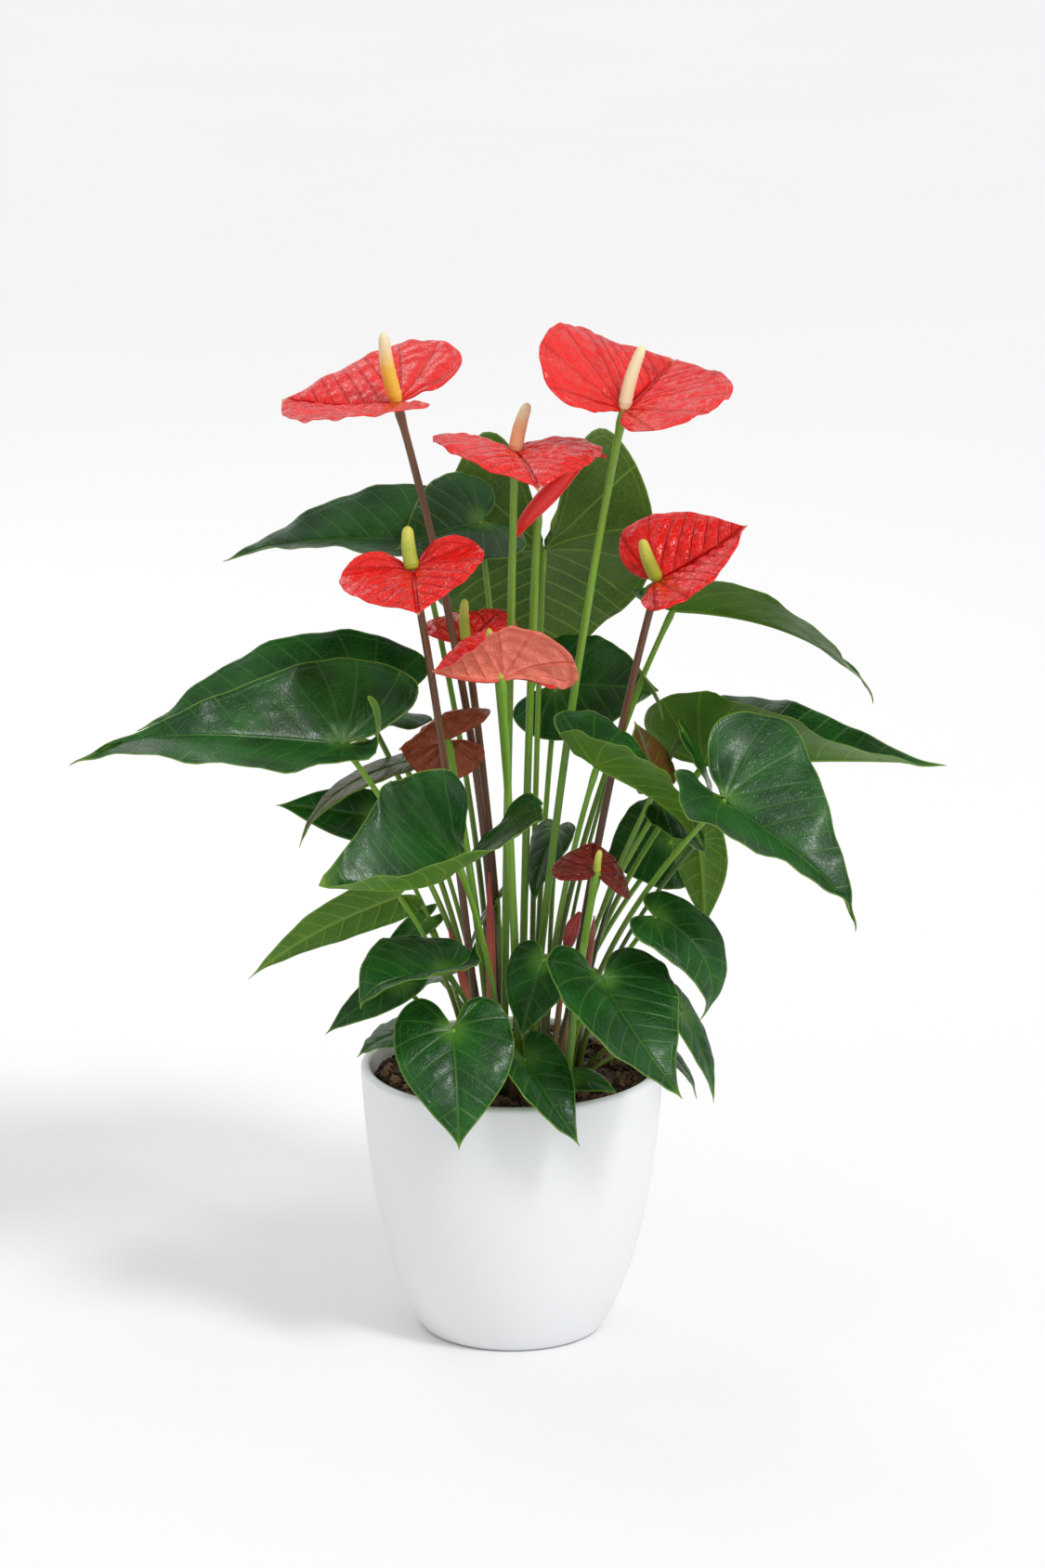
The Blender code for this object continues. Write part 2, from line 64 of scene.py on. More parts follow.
# The pot's side, outside and inside: how far in from the rim to the foot, and how far up.
POT_OUTSIDE = (
    (0.76, 0.09), (0.61, 0.17), (0.47, 0.26), (0.345, 0.37), (0.24, 0.48), (0.16, 0.59), (0.10, 0.70),
    (0.045, 0.84),
)
POT_INSIDE = ((0.10, 0.70), (0.24, 0.48), (0.47, 0.27), (0.76, 0.12))
BOTTOM_INSET = 0.012

# The camera looks level with the middle of the plant, tilted down a little, from far off.
CAMERA_DISTANCE = 4.6
CAMERA_TILT = radians(16)
AIM_ASIDE = 0.0066
AIM_HEIGHT = 0.3533
HALF_VIEW = 0.4859
SENSOR_HEIGHT = 24

# Half outlines of a blade: how far along the midrib, and what share of the half width.
LEAF_EDGE = (
    (1.0, 0.0), (0.94, 0.04), (0.85, 0.17), (0.72, 0.41), (0.56, 0.67), (0.40, 0.87), (0.23, 0.98),
    (0.07, 1.0), (-0.08, 0.94), (-0.19, 0.77), (-0.25, 0.53), (-0.22, 0.30), (-0.13, 0.13), (-0.03, 0.03),
)
SPATHE_EDGE = (
    (1.0, 0.0), (0.95, 0.05), (0.86, 0.24), (0.72, 0.52), (0.50, 0.80), (0.26, 0.96), (0.02, 1.0),
    (-0.17, 0.88), (-0.27, 0.63), (-0.26, 0.36), (-0.17, 0.16),
)
# Leaves: name, attachment and tip (centimetres from the pot's axis and above the soil), full
# width in centimetres, where the stalk leaves the soil, and how the blade is turned and bent.
# Pairs are (left half, right half) as seen from the attachment towards the tip.
LEAVES = (
    ("upper_left", (-5.8, 5.5, 33.1), (-18, 5.5, 31.9), 9.0, (-1.1, 2.5),
     dict(roll=-22, droop=30, fold=25, curl=10, twist=20, slim=(0.3, 0.2))),
    ("upper_left_inner", (-2, 6, 34.2), (-7.2, 1.6, 33.6), 7.2, (0.5, 2.2),
     dict(roll=-40, droop=20, fold=25)),
    ("back_heart", (2, 10.6, 31.3), (1.4, 14.6, 21.1), 14.5, (1.2, 1.4), dict(lobe=0.7, lift=30)),
    ("back_centre", (2.8, 8, 23.2), (9.2, 6, 23.4), 7.5, (1.4, 2.4),
     dict(roll=50, droop=20, fold=5, lobe=0.4, blunt=0.2)),
    ("upper_right", (10, 3, 29.4), (22.6, 5, 22.8), 9.0, (1.9, 0.8),
     dict(droop=50, fold=(10, 48), curl=10, hook=30, slim=(1.0, -0.6), twist=30, lobe=0.15)),
    ("right_long", (12, 4.6, 18.9), (26.8, -2, 20.8), 11.5, (3.2, 1.3),
     dict(roll=10, droop=10, fold=(35, 88), twist=25, slim=(0.6, 0), lift=(30, 0), lobe=0.2)),
    ("right_front", (13, -7, 20), (21, -9, 12.2), 14.0, (3.6, -1.2),
     dict(roll=35, droop=80, late=4, fold=(15, 42), curl=10, lift=(10, 20), slim=(0.9, 1.1), blunt=(0.2, 0))),
    ("left_back", (-9.4, 3, 23.4), (-23.4, 3, 21.6), 10.8, (-1.9, 0.5),
     dict(roll=-22, fold=20, curl=0, slim=(0, 0.1))),
    ("left_front", (-10.4, -5, 23), (-27, -7, 22.2), 12.0, (-1.6, -0.5),
     dict(roll=-26, droop=50, late=3, fold=(20, 25), curl=0, lift=(80, 20), slim=(0.2, 1.0), pinch=(0.5, 0))),
    ("centre_left", (-3.2, -9, 16.4), (-11.6, -15, 17), 13.0, (-0.5, -2.8),
     dict(roll=-15, droop=10, fold=(50, 40), curl=0, sweep=0.2, lift=(25, 20), slim=(0.2, -0.2), fade=0,
          lobe=0.5, blunt=(0, 0.5))),
    ("left_hanging", (-7, -2, 12.4), (-16.4, -2, 7), 4.2, (-2.7, -0.3), dict(roll=60, lobe=0.1)),
    ("low_left_arched", (-4, -9, 9.6), (-9.2, -12, 8.2), 6.5, (-1.2, -3.4),
     dict(roll=-20, droop=110, late=4, fold=(50, 20), lift=(60, 0), slim=(0, -0.6), lobe=0.4)),
    ("low_left_back", (-7, -3, 7), (-11.6, -4, 4), 2.8, (-3.1, -1.2), dict(roll=-40)),
    ("rim_left", (-6, -5, 4.8), (-9.6, -6, 3.2), 5.0, (-2.8, -2.3), dict()),
    ("rim_heart", (-3.6, -10, 6.2), (-3.2, -14, -0.2), 7.4, (-2.1, -3.4), dict(droop=40)),
    ("rim_front_small", (0.8, -8.5, 3.8), (4.2, -12, -0.6), 4.8, (0.6, -4.0),
     dict(roll=25, droop=50, fold=(10, 50), sweep=-0.05)),
    ("low_centre", (2, -5, 9.2), (0.6, -7, 4.6), 4.5, (1.3, -3.1), dict(roll=-10, lobe=0.2)),
    ("low_right_heart", (5.6, -8, 8.8), (10.4, -13, 2.8), 8.5, (3.3, -3.3),
     dict(roll=15, droop=40, sweep=-0.08, fold=(10, 35), lobe=0.25)),
    ("low_right_arched", (8.8, -6.2, 12.3), (11.6, -7, 5.9), 5.0, (4.1, -1.9),
     dict(roll=30, droop=100, lobe=0.15, sweep=0.12)),
    ("rim_right_hanging", (10.6, -2, 4.8), (12.6, -3, -0.8), 3.0, (4.5, -0.8), dict()),
    ("centre_right_folded", (5.2, -5, 21.5), (11.8, -4.5, 16.3), 9.0, (1.8, -2.0),
     dict(roll=-10, fold=(52, 36), lobe=0.4, slim=(0.9, 0))),
    ("centre_right_glossy", (9.2, -2.2, 18.3), (12, -3.2, 15.2), 6.0, (2.8, -1.0), dict(lobe=0.1)),
    ("shade_right", (10, 5.5, 13.7), (5.6, 4.5, 12.5), 6.5, (2.9, 2.2), dict(roll=-50)),
    ("hanging_right", (11.6, -0.5, 15.5), (12, 1, 9.1), 3.5, (4.2, 0.0), dict()),
    ("curled_left", (-8.6, 3, 16), (-14.8, 3, 16.8), 3.5, (-2.7, 1.5), dict(roll=-60)),
    ("shade_centre", (2.8, 2, 15.6), (1.4, 0.3, 11.1), 4.5, (2.2, 2.8), dict(roll=20, lobe=0.1)),
    ("young_olive", (-6.7, 0.3, 20.3), (-13.2, -1.2, 15.3), 4.0, (-1.7, 1.5), dict(droop=60, lobe=0.1)),
    ("young_bronze", (9, -1.2, 19.2), (7.6, 0, 23.1), 3.8, (3.4, -0.3), dict(droop=0, lobe=0.05, slim=-0.6)),
    ("grey_right", (10.6, 1.3, 21.9), (12.6, 1.3, 16.4), 5.0, (4.0, 0.9), dict(lobe=0.1)),
)

# Flowers: name, attachment and tip of the spathe, full width, spathe shape, tip of the spadix
# (None where none shows), spadix radius in millimetres, where the stem leaves the soil, and how
# straight the stem is.
FLOWERS = (
    ("top_left", (-7, 0, 43.2), (-14, 2.5, 43), 12.5,
     dict(roll=-10, droop=-20, fold=(15, 17), curl=0, lobe=0.4, blunt=(0.5, 0.1)), (-7.8, -0.5, 47.8), 4.4,
     (-0.9, 0.9), 0.0),
    ("top_right", (6.8, -2, 43.2), (10, 4.5, 45), 13.5,
     dict(droop=-10, fold=(50, 15), curl=10, lobe=0.5, blunt=(0.4, 0.3)), (8, -1.5, 47.2), 4.0,
     (1.0, -1.2), 0.8),
    ("top_centre", (0.2, -2, 40.6), (1.6, -9, 40), 10.5, dict(droop=20, fold=(12, 22)), (1, -1.5, 43.6), 4.2,
     (-0.5, -0.4), 0.7),
    ("left", (-6, -6, 34.2), (-5.6, -11, 32.8), 9.0, dict(roll=12, droop=20, fold=5, curl=0, lift=40),
     (-6.3, -5.2, 36.8), 4.4, (-1.8, -1.6), 0.9),
    ("right", (9, 0, 32), (14.4, 0, 35.6), 9.0, dict(roll=30, droop=-20, fold=(28, 30), lobe=0.2),
     (8, -0.6, 34.8), 4.2, (3.0, 0.4), 0.9),
    ("back", (-2.8, 1.5, 27.6), (-0.6, 4.3, 29.2), 7.0, dict(droop=-10, fold=20, lobe=0.15),
     (-2.9, 1.9, 30.4), 3.2, (-0.3, 1.7), 0.7),
    ("pink", (-0.6, -6, 27.3), (-4.8, -7, 28.3), 8.5,
     dict(droop=-20, fold=(75, 40), lobe=0.8, lift=-25), (-1.4, -5.2, 30.4), 3.0, (0.4, -2.1),
     0.7),
    ("bronze", (-4, -1.9, 22.4), (-7, -3, 22.2), 6.5,
     dict(droop=0, fold=(75, -50), curl=(50, 50), lobe=0.75), None, 0, (-1.1, -2.4), 0.7),
    ("low_small", (5.2, -7.5, 15.5), (5, -4.5, 16.7), 5.5, dict(droop=-20, fold=(10, -30)), (5.4, -7.9, 17.1),
     2.2, (3.4, -4.5), 0.7),
)

# The furled spathe and the small bud: points along each, in centimetres as above, and radii in millimetres.
FURLED_STEM_TOP = (1.6, 0, 36.4)
FURLED_STEM_ROOT = (0.6, 0.6)
FURLED_SPATHE = (
    (0.2, -0.6, 35, 2.0), (1.0, -0.6, 36.2, 4.6), (2.4, -0.6, 37.8, 6.0), (3.8, -0.6, 39.4, 4.8),
    (4.8, -0.6, 40.2, 2.4), (5.8, -0.6, 40.0, 0.8),
)
BUD = (
    (2.3, -3.8, 0.1, 1.8), (2.9, -3.6, 5.0, 1.6), (3.3, -3.2, 9.2, 1.6), (3.5, -3.2, 9.8, 4.0),
    (3.8, -3.2, 10.8, 4.4), (4.2, -3.2, 11.7, 1.2),
)

# More small leaves and slivers low in the plant: name, attachment, tip, width, root and shape as above.
UNDERGROWTH = (
    ("pot_edge", (8.6, 0, 2.4), (11.6, -0.4, -1.4), 3.0, (4.6, -1.6), dict(droop=50)),
    ("seedling", (3.6, -5.4, 1.6), (6.6, -6.4, 0.9), 2.4, (3.0, -4.4), dict(roll=20, droop=40)),
    ("sliver_left", (-5.4, 2, 9.6), (-8.4, 1, 7.2), 1.8, (-2.6, 1.0), dict(roll=-40)),
    ("sliver_centre", (-0.9, 1.5, 11.2), (-2.7, 0.6, 7.6), 1.8, (-0.6, 1.2), dict(roll=20)),
    ("sliver_right", (8.2, 2.2, 25.2), (9.4, 1.8, 22.6), 1.6, (2.6, 1.6), dict(roll=-30)),
    ("crown_back", (3.2, 4.6, 5.6), (6.6, 5.8, 3.8), 4.6, (1.6, 3.6), dict(roll=10, droop=40)),
    ("crown_left_back", (-4.6, 4.2, 5.2), (-8.0, 6.0, 2.6), 4.4, (-1.8, 3.2), dict(droop=50)),
)

# Papery sheaths and young shoots at the crown: name, tone, and points with their radii in millimetres.
SHEATHS = (
    ("shoot_red", "sheath_red",
     ((-1.2, -3.1, 4.5, 2.6), (-1.3, -3.2, 7.5, 3.2), (-1.35, -3.2, 11, 2.6), (-1.4, -3.1, 14.2, 0.5))),
    ("sheath_orange", "sheath_red",
     ((-2.6, -3.4, 5.0, 2.2), (-3.0, -3.7, 7.4, 2.8), (-3.6, -4.0, 9.8, 2.0), (-3.9, -4.1, 11, 0.4))),
    ("sheath_pink", "sheath_pink",
     ((4.3, -3.9, 5.0, 2.0), (4.6, -3.8, 8.0, 2.7), (4.9, -3.7, 10.0, 2.2), (5.1, -3.6, 11.6, 0.4))),
    ("sheath_left", "sheath_brown",
     ((-1.9, -2.9, 0.0, 4.2), (-2.1, -3.1, 1.8, 4.0), (-2.5, -3.4, 3.6, 2.4), (-2.8, -3.6, 4.8, 0.4))),
    ("sheath_front", "sheath_brown",
     ((0.3, -3.9, 0.0, 4.4), (0.2, -4.2, 1.6, 4.0), (0.0, -4.5, 3.2, 2.2), (-0.2, -4.7, 4.2, 0.4))),
    ("sheath_right", "sheath_brown",
     ((2.8, -2.9, 0.0, 4.4), (3.0, -3.1, 2.0, 3.8), (3.3, -3.3, 3.8, 2.0), (3.5, -3.4, 5.0, 0.4))),
    ("sheath_back", "sheath_brown",
     ((1.6, 2.0, 0.0, 4.6), (1.5, 2.2, 2.2, 4.0), (1.4, 2.5, 4.4, 2.2), (1.3, 2.7, 5.8, 0.4))),
)

LEAF_SLOTS = {"back_heart": "leaf_backlit", "young_olive": "leaf_olive", "young_bronze": "leaf_bronze"}
SPATHE_SLOTS = {"pink": "spathe_pink", "bronze": "spathe_bronze", "low_small": "spathe_maroon"}
SPADIX_SLOTS = {"top_right": "spadix_cream", "top_left": "spadix_yellow", "top_centre": "spadix_peach"}
BROWN_STEMS = ("top_left", "left", "right", "back")


def length_property(name, description, default):
    return bpy.props.FloatProperty(name=name, description=description, default=default, unit="LENGTH",
                                   precision=4)


class PlantSizes(bpy.types.PropertyGroup):
    blade_thickness: length_property("Leaf thickness", "How thick a leaf blade is", 0.0009)
    spathe_thickness: length_property("Spathe thickness", "How thick a waxy spathe is", 0.0011)
    leaf_quilt: length_property("Leaf quilting", "How far a leaf swells between its side veins", 0.0005)
    spathe_quilt: length_property("Spathe quilting", "How far a spathe blisters between its veins", 0.0021)
    leaf_wave: length_property("Leaf edge wave", "How far the edge of a leaf waves up and down", 0.0016)
    stalk_radius: length_property("Leaf stalk radius", "Radius of a leaf stalk", 0.0018)
    stem_radius: length_property("Flower stem radius", "Radius of a flower stem", 0.0026)
    bead_height: length_property("Floret height", "How far the florets of a spadix stand out", 0.0006)
    pot_radius: length_property("Pot radius", "Outside radius of the pot at its rim", POT_BOX[1][0])
    pot_height: length_property("Pot height", "Height of the pot", POT_BOX[1][2])
    pot_foot: length_property("Pot foot radius", "Radius of the pot's flat bottom", 0.056)
    pot_wall: length_property("Pot wall", "Thickness of the pot's wall", 0.0065)


def colour_property(name, description, default):
    return bpy.props.FloatVectorProperty(name=name, description=description, default=default, subtype="COLOR",
                                         size=3, min=0, max=1)


class PlantColours(bpy.types.PropertyGroup):
    leaf: colour_property("Leaf", "Upper face of a grown leaf", (0.012, 0.092, 0.010))
    leaf_shade: colour_property("Leaf shade", "Darker patches on a grown leaf", (0.005, 0.044, 0.006))
    leaf_vein: colour_property("Leaf vein", "Veins of a grown leaf", (0.085, 0.230, 0.030))
    leaf_under: colour_property("Leaf underside", "Underside of a grown leaf", (0.085, 0.200, 0.018))
    leaf_edge: colour_property("Leaf edge", "Thin pale margin of a leaf", (0.200, 0.330, 0.040))
    backlit: colour_property("Backlit leaf", "Underside with light coming through", (0.055, 0.125, 0.010))
    olive: colour_property("Olive leaf", "Young olive leaf", (0.085, 0.080, 0.012))
    bronze_leaf: colour_property("Bronze leaf", "Youngest, bronze leaf", (0.150, 0.066, 0.014))
    red: colour_property("Spathe", "Waxy face of a spathe", (0.820, 0.010, 0.006))
    # Deep red for darker random mottling of a spathe and for painted shade in its vein grooves.
    red_mottle_and_groove_shade: colour_property("Spathe shade", "Grooves and folds of a spathe", (0.300, 0.003, 0.004))
    red_back: colour_property("Spathe back", "Back of a spathe", (0.640, 0.030, 0.020))
    spathe_tip: colour_property("Spathe tip", "Dry tip of a spathe", (0.620, 0.380, 0.150))
    pink: colour_property("Pink spathe", "Pink back of an opening spathe", (0.850, 0.200, 0.130))
    bronze: colour_property("Bronze spathe", "Spathe that is going over", (0.300, 0.055, 0.016))
    maroon: colour_property("Maroon spathe", "Small dark spathe", (0.210, 0.012, 0.010))
    cream: colour_property("Cream spadix", "Pale spadix", (0.860, 0.760, 0.470))
    yellow: colour_property("Yellow spadix", "Ripe spadix", (0.880, 0.600, 0.070))
    peach: colour_property("Peach spadix", "Peach spadix", (0.880, 0.480, 0.240))
    green: colour_property("Green spadix", "Unripe spadix", (0.400, 0.480, 0.040))
    stem_green: colour_property("Green stem", "Green stems and stalks", (0.150, 0.330, 0.012))
    stem_brown: colour_property("Brown stem", "Brown stems", (0.150, 0.058, 0.022))
    glaze: colour_property("Glaze", "Satin white glaze of the pot", (0.820, 0.835, 0.855))
    mix: colour_property("Potting mix", "Damp potting mix", (0.040, 0.021, 0.011))
    bark: colour_property("Bark", "Drier bark chips and coir", (0.165, 0.085, 0.042))
    floor: colour_property("Floor", "Plain pale floor", (0.880, 0.880, 0.880))


def sizes():
    return bpy.context.scene.anthurium_sizes


def colours():
    return bpy.context.scene.anthurium_colours


# ---- Shapes ----

def unit(vector):
    vector = np.asarray(vector, float)
    return vector / np.linalg.norm(vector)


def unit_rows(vectors):
    return vectors / np.linalg.norm(vectors, axis=1)[:, None]


def distance_along(line):
    return np.concatenate([[0], np.cumsum(np.linalg.norm(np.diff(line, axis=0), axis=1))])


def pair(value):
    return value if isinstance(value, tuple) else (value, value)


def smooth_points(points, count):
    """A Catmull-Rom curve through the points."""
    given = np.array(points, float)
    given = np.vstack([2 * given[0] - given[1], given, 2 * given[-1] - given[-2]])
    found = []
    for step in np.linspace(0, len(given) - 3, count):
        first = min(int(step), len(given) - 4)
        f = step - first
        a, b, c, d = given[first:first + 4]
        found.append(0.5 * (2 * b + (c - a) * f + (2 * a - 5 * b + 4 * c - d) * f**2
                            + (3 * b - a - 3 * c + d) * f**3))
    return np.array(found)


def midrib(base, tip, shape):
    """Points along the midrib, their directions forward, up out of the blade and left, and its length."""
    chord = np.linalg.norm(tip - base)
    axis = (tip - base) / chord
    level = unit(np.array((0, 0, 1.0)) - axis[2] * axis)
    roll = radians(shape.get("roll", 0))
    up = level * cos(roll) + np.cross(axis, level) * sin(roll)
    left = np.cross(up, axis)
    along = np.linspace(0, 1, RIB_STEPS + 1)
    pitch = -radians(shape.get("droop", 30)) * along ** shape.get("late", 1.5)
    pitch -= radians(shape.get("hook", 0)) * np.clip((along - 0.85) / 0.15, 0, 1) ** 2
    middle = (pitch[1:] + pitch[:-1]) / 2
    run = np.concatenate([[0], np.cumsum(np.cos(middle))])
    rise = np.concatenate([[0], np.cumsum(np.sin(middle))])
    tilt = np.arctan2(rise[-1], run[-1])
    scale = chord / hypot(run[-1], rise[-1])
    ahead = (run * cos(tilt) + rise * sin(tilt)) * scale
    above = (rise * cos(tilt) - run * sin(tilt)) * scale
    aside = shape.get("sweep", 0) * chord * 4 * along * (1 - along)
    points = base + np.outer(ahead, axis) + np.outer(above, up) + np.outer(aside, left)
    forward = unit_rows(np.gradient(points, axis=0))
    out = np.outer(np.cos(pitch - tilt), up) - np.outer(np.sin(pitch - tilt), axis)
    out -= (out * forward).sum(1)[:, None] * forward
    out = unit_rows(out)
    side = np.cross(out, forward)
    turn = (radians(shape.get("twist", 0)) * along)[:, None]
    turned_out = out * np.cos(turn) - side * np.sin(turn)
    turned_side = side * np.cos(turn) + out * np.sin(turn)
    return along, points, forward, turned_out, turned_side, scale * RIB_STEPS


def bezier(a, b, c, d, count):
    t = np.linspace(0, 1, count)[:, None]
    return (1 - t)**3 * a + 3 * (1 - t)**2 * t * b + 3 * (1 - t) * t**2 * c + t**3 * d


def placed(point):
    """A table's point in metres from the pot's bottom centre."""
    x, y, z = (CM * value for value in point[:3])
    return np.array((x, y, SOIL_TOP + z))


def seeded(seed):
    """Random numbers that come out the same on every run."""
    return np.random.default_rng(seed)


def outline(edge, shape, steps):
    """The blade's flat outline, from the right-hand side of the notch round the tip to the left."""
    half = smooth_points(edge, steps)
    sides = []
    for blunt in pair(shape.get("blunt", 0)):
        one = half.copy()
        front = one[:, 0] > 0.07
        one[front, 1] = np.abs(one[front, 1]) ** (1 - blunt)
        sides.append(one)
    left, right = sides
    return np.vstack([left[::-1], (right * (1, -1))[1:]])


def blade_points(rib, half_width, shape, t, share):
    """Places and flat coordinates at t along the midrib and this share of the half width, + to the left."""
    along, points, forward, out, side, length = rib
    left = share >= 0
    sign = np.where(left, 1.0, -1.0)[:, None]

    def half(key, usual):
        first, second = pair(shape.get(key, usual))
        return np.where(left, first, second)

    lobe = shape.get("lobe", 0.3)
    t = np.where(t < 0, t * lobe / TEMPLATE_LOBE, t)
    ahead = np.clip(t, 0, 1)
    distance = np.abs(share) * half_width * (1 - half("slim", 0) * ahead)
    distance *= 1 - half("pinch", 0) * np.clip(1 - t / 0.3, 0, 1)
    fold = np.radians(half("fold", 10)) * (1 - shape.get("fade", 0.6) * ahead**2)
    curl = np.radians(half("curl", 20)) / half_width
    curl = np.where(np.abs(curl) < 1e-3, 1e-3, curl)
    over = ((np.sin(fold) - np.sin(fold - curl * distance)) / curl)[:, None]
    rise = ((np.cos(fold - curl * distance) - np.cos(fold)) / curl)[:, None]

    def at(values):
        return np.stack([np.interp(ahead, along, values[:, i]) for i in range(3)], axis=1)

    front = at(points) + unit_rows(at(side)) * sign * over + unit_rows(at(out)) * rise
    lift = (np.radians(half("lift", 0)) * np.clip(-t / lobe, 0, 1))[:, None]
    back = out[0] * np.sin(lift) - forward[0] * np.cos(lift)
    up = out[0] * np.cos(lift) + forward[0] * np.sin(lift)
    behind = points[0] - back * t[:, None] * length + side[0] * sign * over + up * rise
    flat = np.stack([t * length, np.where(left, distance, -distance)], axis=1)
    return np.where(t[:, None] >= 0, front, behind), flat


def vein_space(flat, length, half_width, gap):
    """Counts veins across the blade, whole numbers on a vein, and gives the gap between veins there."""
    u = flat[:, 0]
    v = np.abs(flat[:, 1])
    bent = u - 0.22 * v * v / half_width
    lateral = bent - LATERAL_LEAN * v
    turn = np.arctan2(v, bent)
    first = np.arctan2(1.0, LATERAL_LEAN)
    step = radians(27)
    count = np.where(lateral > 0, lateral / gap, -(turn - first) / step)
    width = np.where(lateral > 0, gap * 0.85, np.maximum(np.hypot(bent, v) * step, 0.0015))
    return count, width


def nearest_edge(flat, rim):
    """How far each flat point is from the blade's outline."""
    a, b = rim[:-1], rim[1:]
    way = b - a
    share = ((flat[:, None] - a) * way).sum(2) / np.maximum((way * way).sum(1), 1e-12)
    foot = a + np.clip(share, 0, 1)[..., None] * way
    return np.linalg.norm(flat[:, None] - foot, axis=2).min(1)


def grid_normals(places):
    """Normals of a grid of points, rows out from the attachment and columns round it."""
    down = np.gradient(places, axis=0)
    along = np.gradient(places, axis=1)
    normal = np.cross(down, along)
    size = np.linalg.norm(normal, axis=2)
    size[size < 1e-12] = 1
    return normal / size[..., None]


def built(name, points, faces, measures=None):
    """A smooth mesh object with a number or a vector at each vertex for every named measure."""
    mesh = bpy.data.meshes.new(name)
    mesh.from_pydata(np.asarray(points).tolist(), [], faces)
    for key, values in (measures or {}).items():
        values = np.asarray(values, np.float32)
        if values.ndim == 2:
            data = np.zeros((len(values), 3), np.float32)
            data[:, :values.shape[1]] = values
            mesh.attributes.new(key, "FLOAT_VECTOR", "POINT").data.foreach_set("vector", data.ravel())
        else:
            mesh.attributes.new(key, "FLOAT", "POINT").data.foreach_set("value", values)
    mesh.polygons.foreach_set("use_smooth", [True] * len(mesh.polygons))
    mesh.update()
    obj = bpy.data.objects.new(name, mesh)
    bpy.context.scene.collection.objects.link(obj)
    return obj


def declared(obj, material, slot, *nodes):
    """Gives a finished piece its material, hangs it under the root and hides the parts that it stands for;
    the slot is not used.
    """
    obj.data.materials.clear()
    obj.data.materials.append(material)
    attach(obj, ROOT)
    if nodes:
        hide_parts(*nodes)
    return obj


def sheet_faces(rows, columns):
    """Faces of two grids one under the other, with walls that join them all round."""
    total = rows * columns
    quads = []
    for row in range(rows - 1):
        start = row * columns
        for j in range(columns - 1):
            quads.append((start + j, start + j + 1, start + columns + j + 1, start + columns + j))
    flipped = [(total + d, total + c, total + b, total + a) for a, b, c, d in quads]
    loop = [row * columns for row in range(rows)]
    loop += list(range((rows - 1) * columns + 1, rows * columns))
    loop += [row * columns + columns - 1 for row in range(rows - 2, -1, -1)]
    loop += list(range(columns - 2, 0, -1))
    following = loop[1:] + loop[:1]
    return quads + flipped + [(a, b, total + b, total + a) for a, b in zip(loop, following)]


def blade(name, base, tip, width, shape, edge, look, seed):
    """A closed blade with relief: an upper and a lower sheet joined round the edge."""
    rib = midrib(placed(base), placed(tip), shape)
    length = rib[5]
    half_width = width * CM / 2
    rings, steps = look["rings"], look["steps"]
    rim = outline(edge, shape, steps)
    columns = len(rim)
    even = np.linspace(0, 1, rings)[1:-1]
    reach = np.append(even * 1.06 - even ** 2 * 0.06, (0.992, 1.0))
    spread = np.concatenate([[0.02 * reach[0]], reach])
    t = np.outer(spread, rim[:, 0]).ravel()
    share = np.outer(spread, rim[:, 1]).ravel()
    places, flat = blade_points(rib, half_width, shape, t, share)
    rows = len(spread)
    outer = flat[-columns:]
    margin = nearest_edge(flat, outer)
    gap = max(look["gap"], length / 8.5)
    count, width_here = vein_space(flat, length, half_width, gap)
    off = np.abs(count - np.round(count))
    middle = np.abs(flat[:, 1])
    rng = seeded(seed)
    phase = rng.uniform(0, 2 * pi, 8)
    u, v = flat[:, 0], flat[:, 1]
    heart = np.hypot(u, v)
    swell = np.sin(np.pi * np.clip(off, 0, 0.5)) ** 0.8
    fade = np.clip(margin / 0.006, 0, 1) * np.clip(middle / 0.006, 0, 1) * np.clip(heart / 0.012, 0, 1)
    blister = 0.65 + 0.35 * np.sin(u * 420 + phase[0] + 2 * np.sin(v * 160 + phase[1])) * np.sin(
        v * 380 + phase[2] + 2 * np.sin(u * 170 + phase[3]))
    relief = look["quilt"] * swell * fade * blister
    relief -= look["quilt"] * 0.55 * np.exp(-((middle / 0.0016) ** 2)) * np.clip(heart / 0.01, 0, 1)
    edge_share = np.clip(1 - margin / (0.35 * half_width), 0, 1) ** 2
    wave = look["wave"] * min(1, half_width / 0.055) ** 1.5 * edge_share * (
        np.sin(u / length * 19 + phase[4] + np.sign(v)) + 0.6 * np.sin(u / length * 37 + phase[5]))
    wave *= np.clip((1.02 - u / length) / 0.15, 0, 1)
    grid = places.reshape(rows, columns, 3)
    normals = grid_normals(grid).reshape(-1, 3)
    middle_normal = normals.reshape(rows, columns, 3)[2, columns // 2]
    turned = middle_normal.dot(rib[3][0]) < 0
    if turned:
        normals = -normals
    body = look["thickness"] / 2 * np.clip(0.35 + margin / 0.0016, 0, 1)
    ridge = look["ridge"] * np.exp(-((middle / 0.0013) ** 2)) * np.clip(1.1 - u / length, 0, 1)
    ridge = ridge + 0.3 * look["ridge"] * np.exp(-((off * width_here / 0.0008) ** 2)) * fade
    lifted = (relief + wave)[:, None]
    top = places + normals * (lifted + body[:, None])
    under = places + normals * (lifted - body[:, None] - ridge[:, None])
    total = rows * columns
    faces = sheet_faces(rows, columns)
    if not turned:
        faces = [tuple(reversed(face)) for face in faces]
    both = {
        "vein": count, "gap": width_here, "mid": middle, "rim": margin, "heart": heart,
        "tip": np.clip((u / length - 0.90) / 0.10, 0, 1),
    }
    measures = {key: np.concatenate([values, values]) for key, values in both.items()}
    shifted = np.column_stack([u + 0.31 * seed, v, np.zeros(len(u))])
    measures["flat"] = np.vstack([shifted, shifted])
    measures["under"] = np.concatenate([np.zeros(total), np.ones(total)])
    return built(name, np.vstack([top, under]), faces, measures)


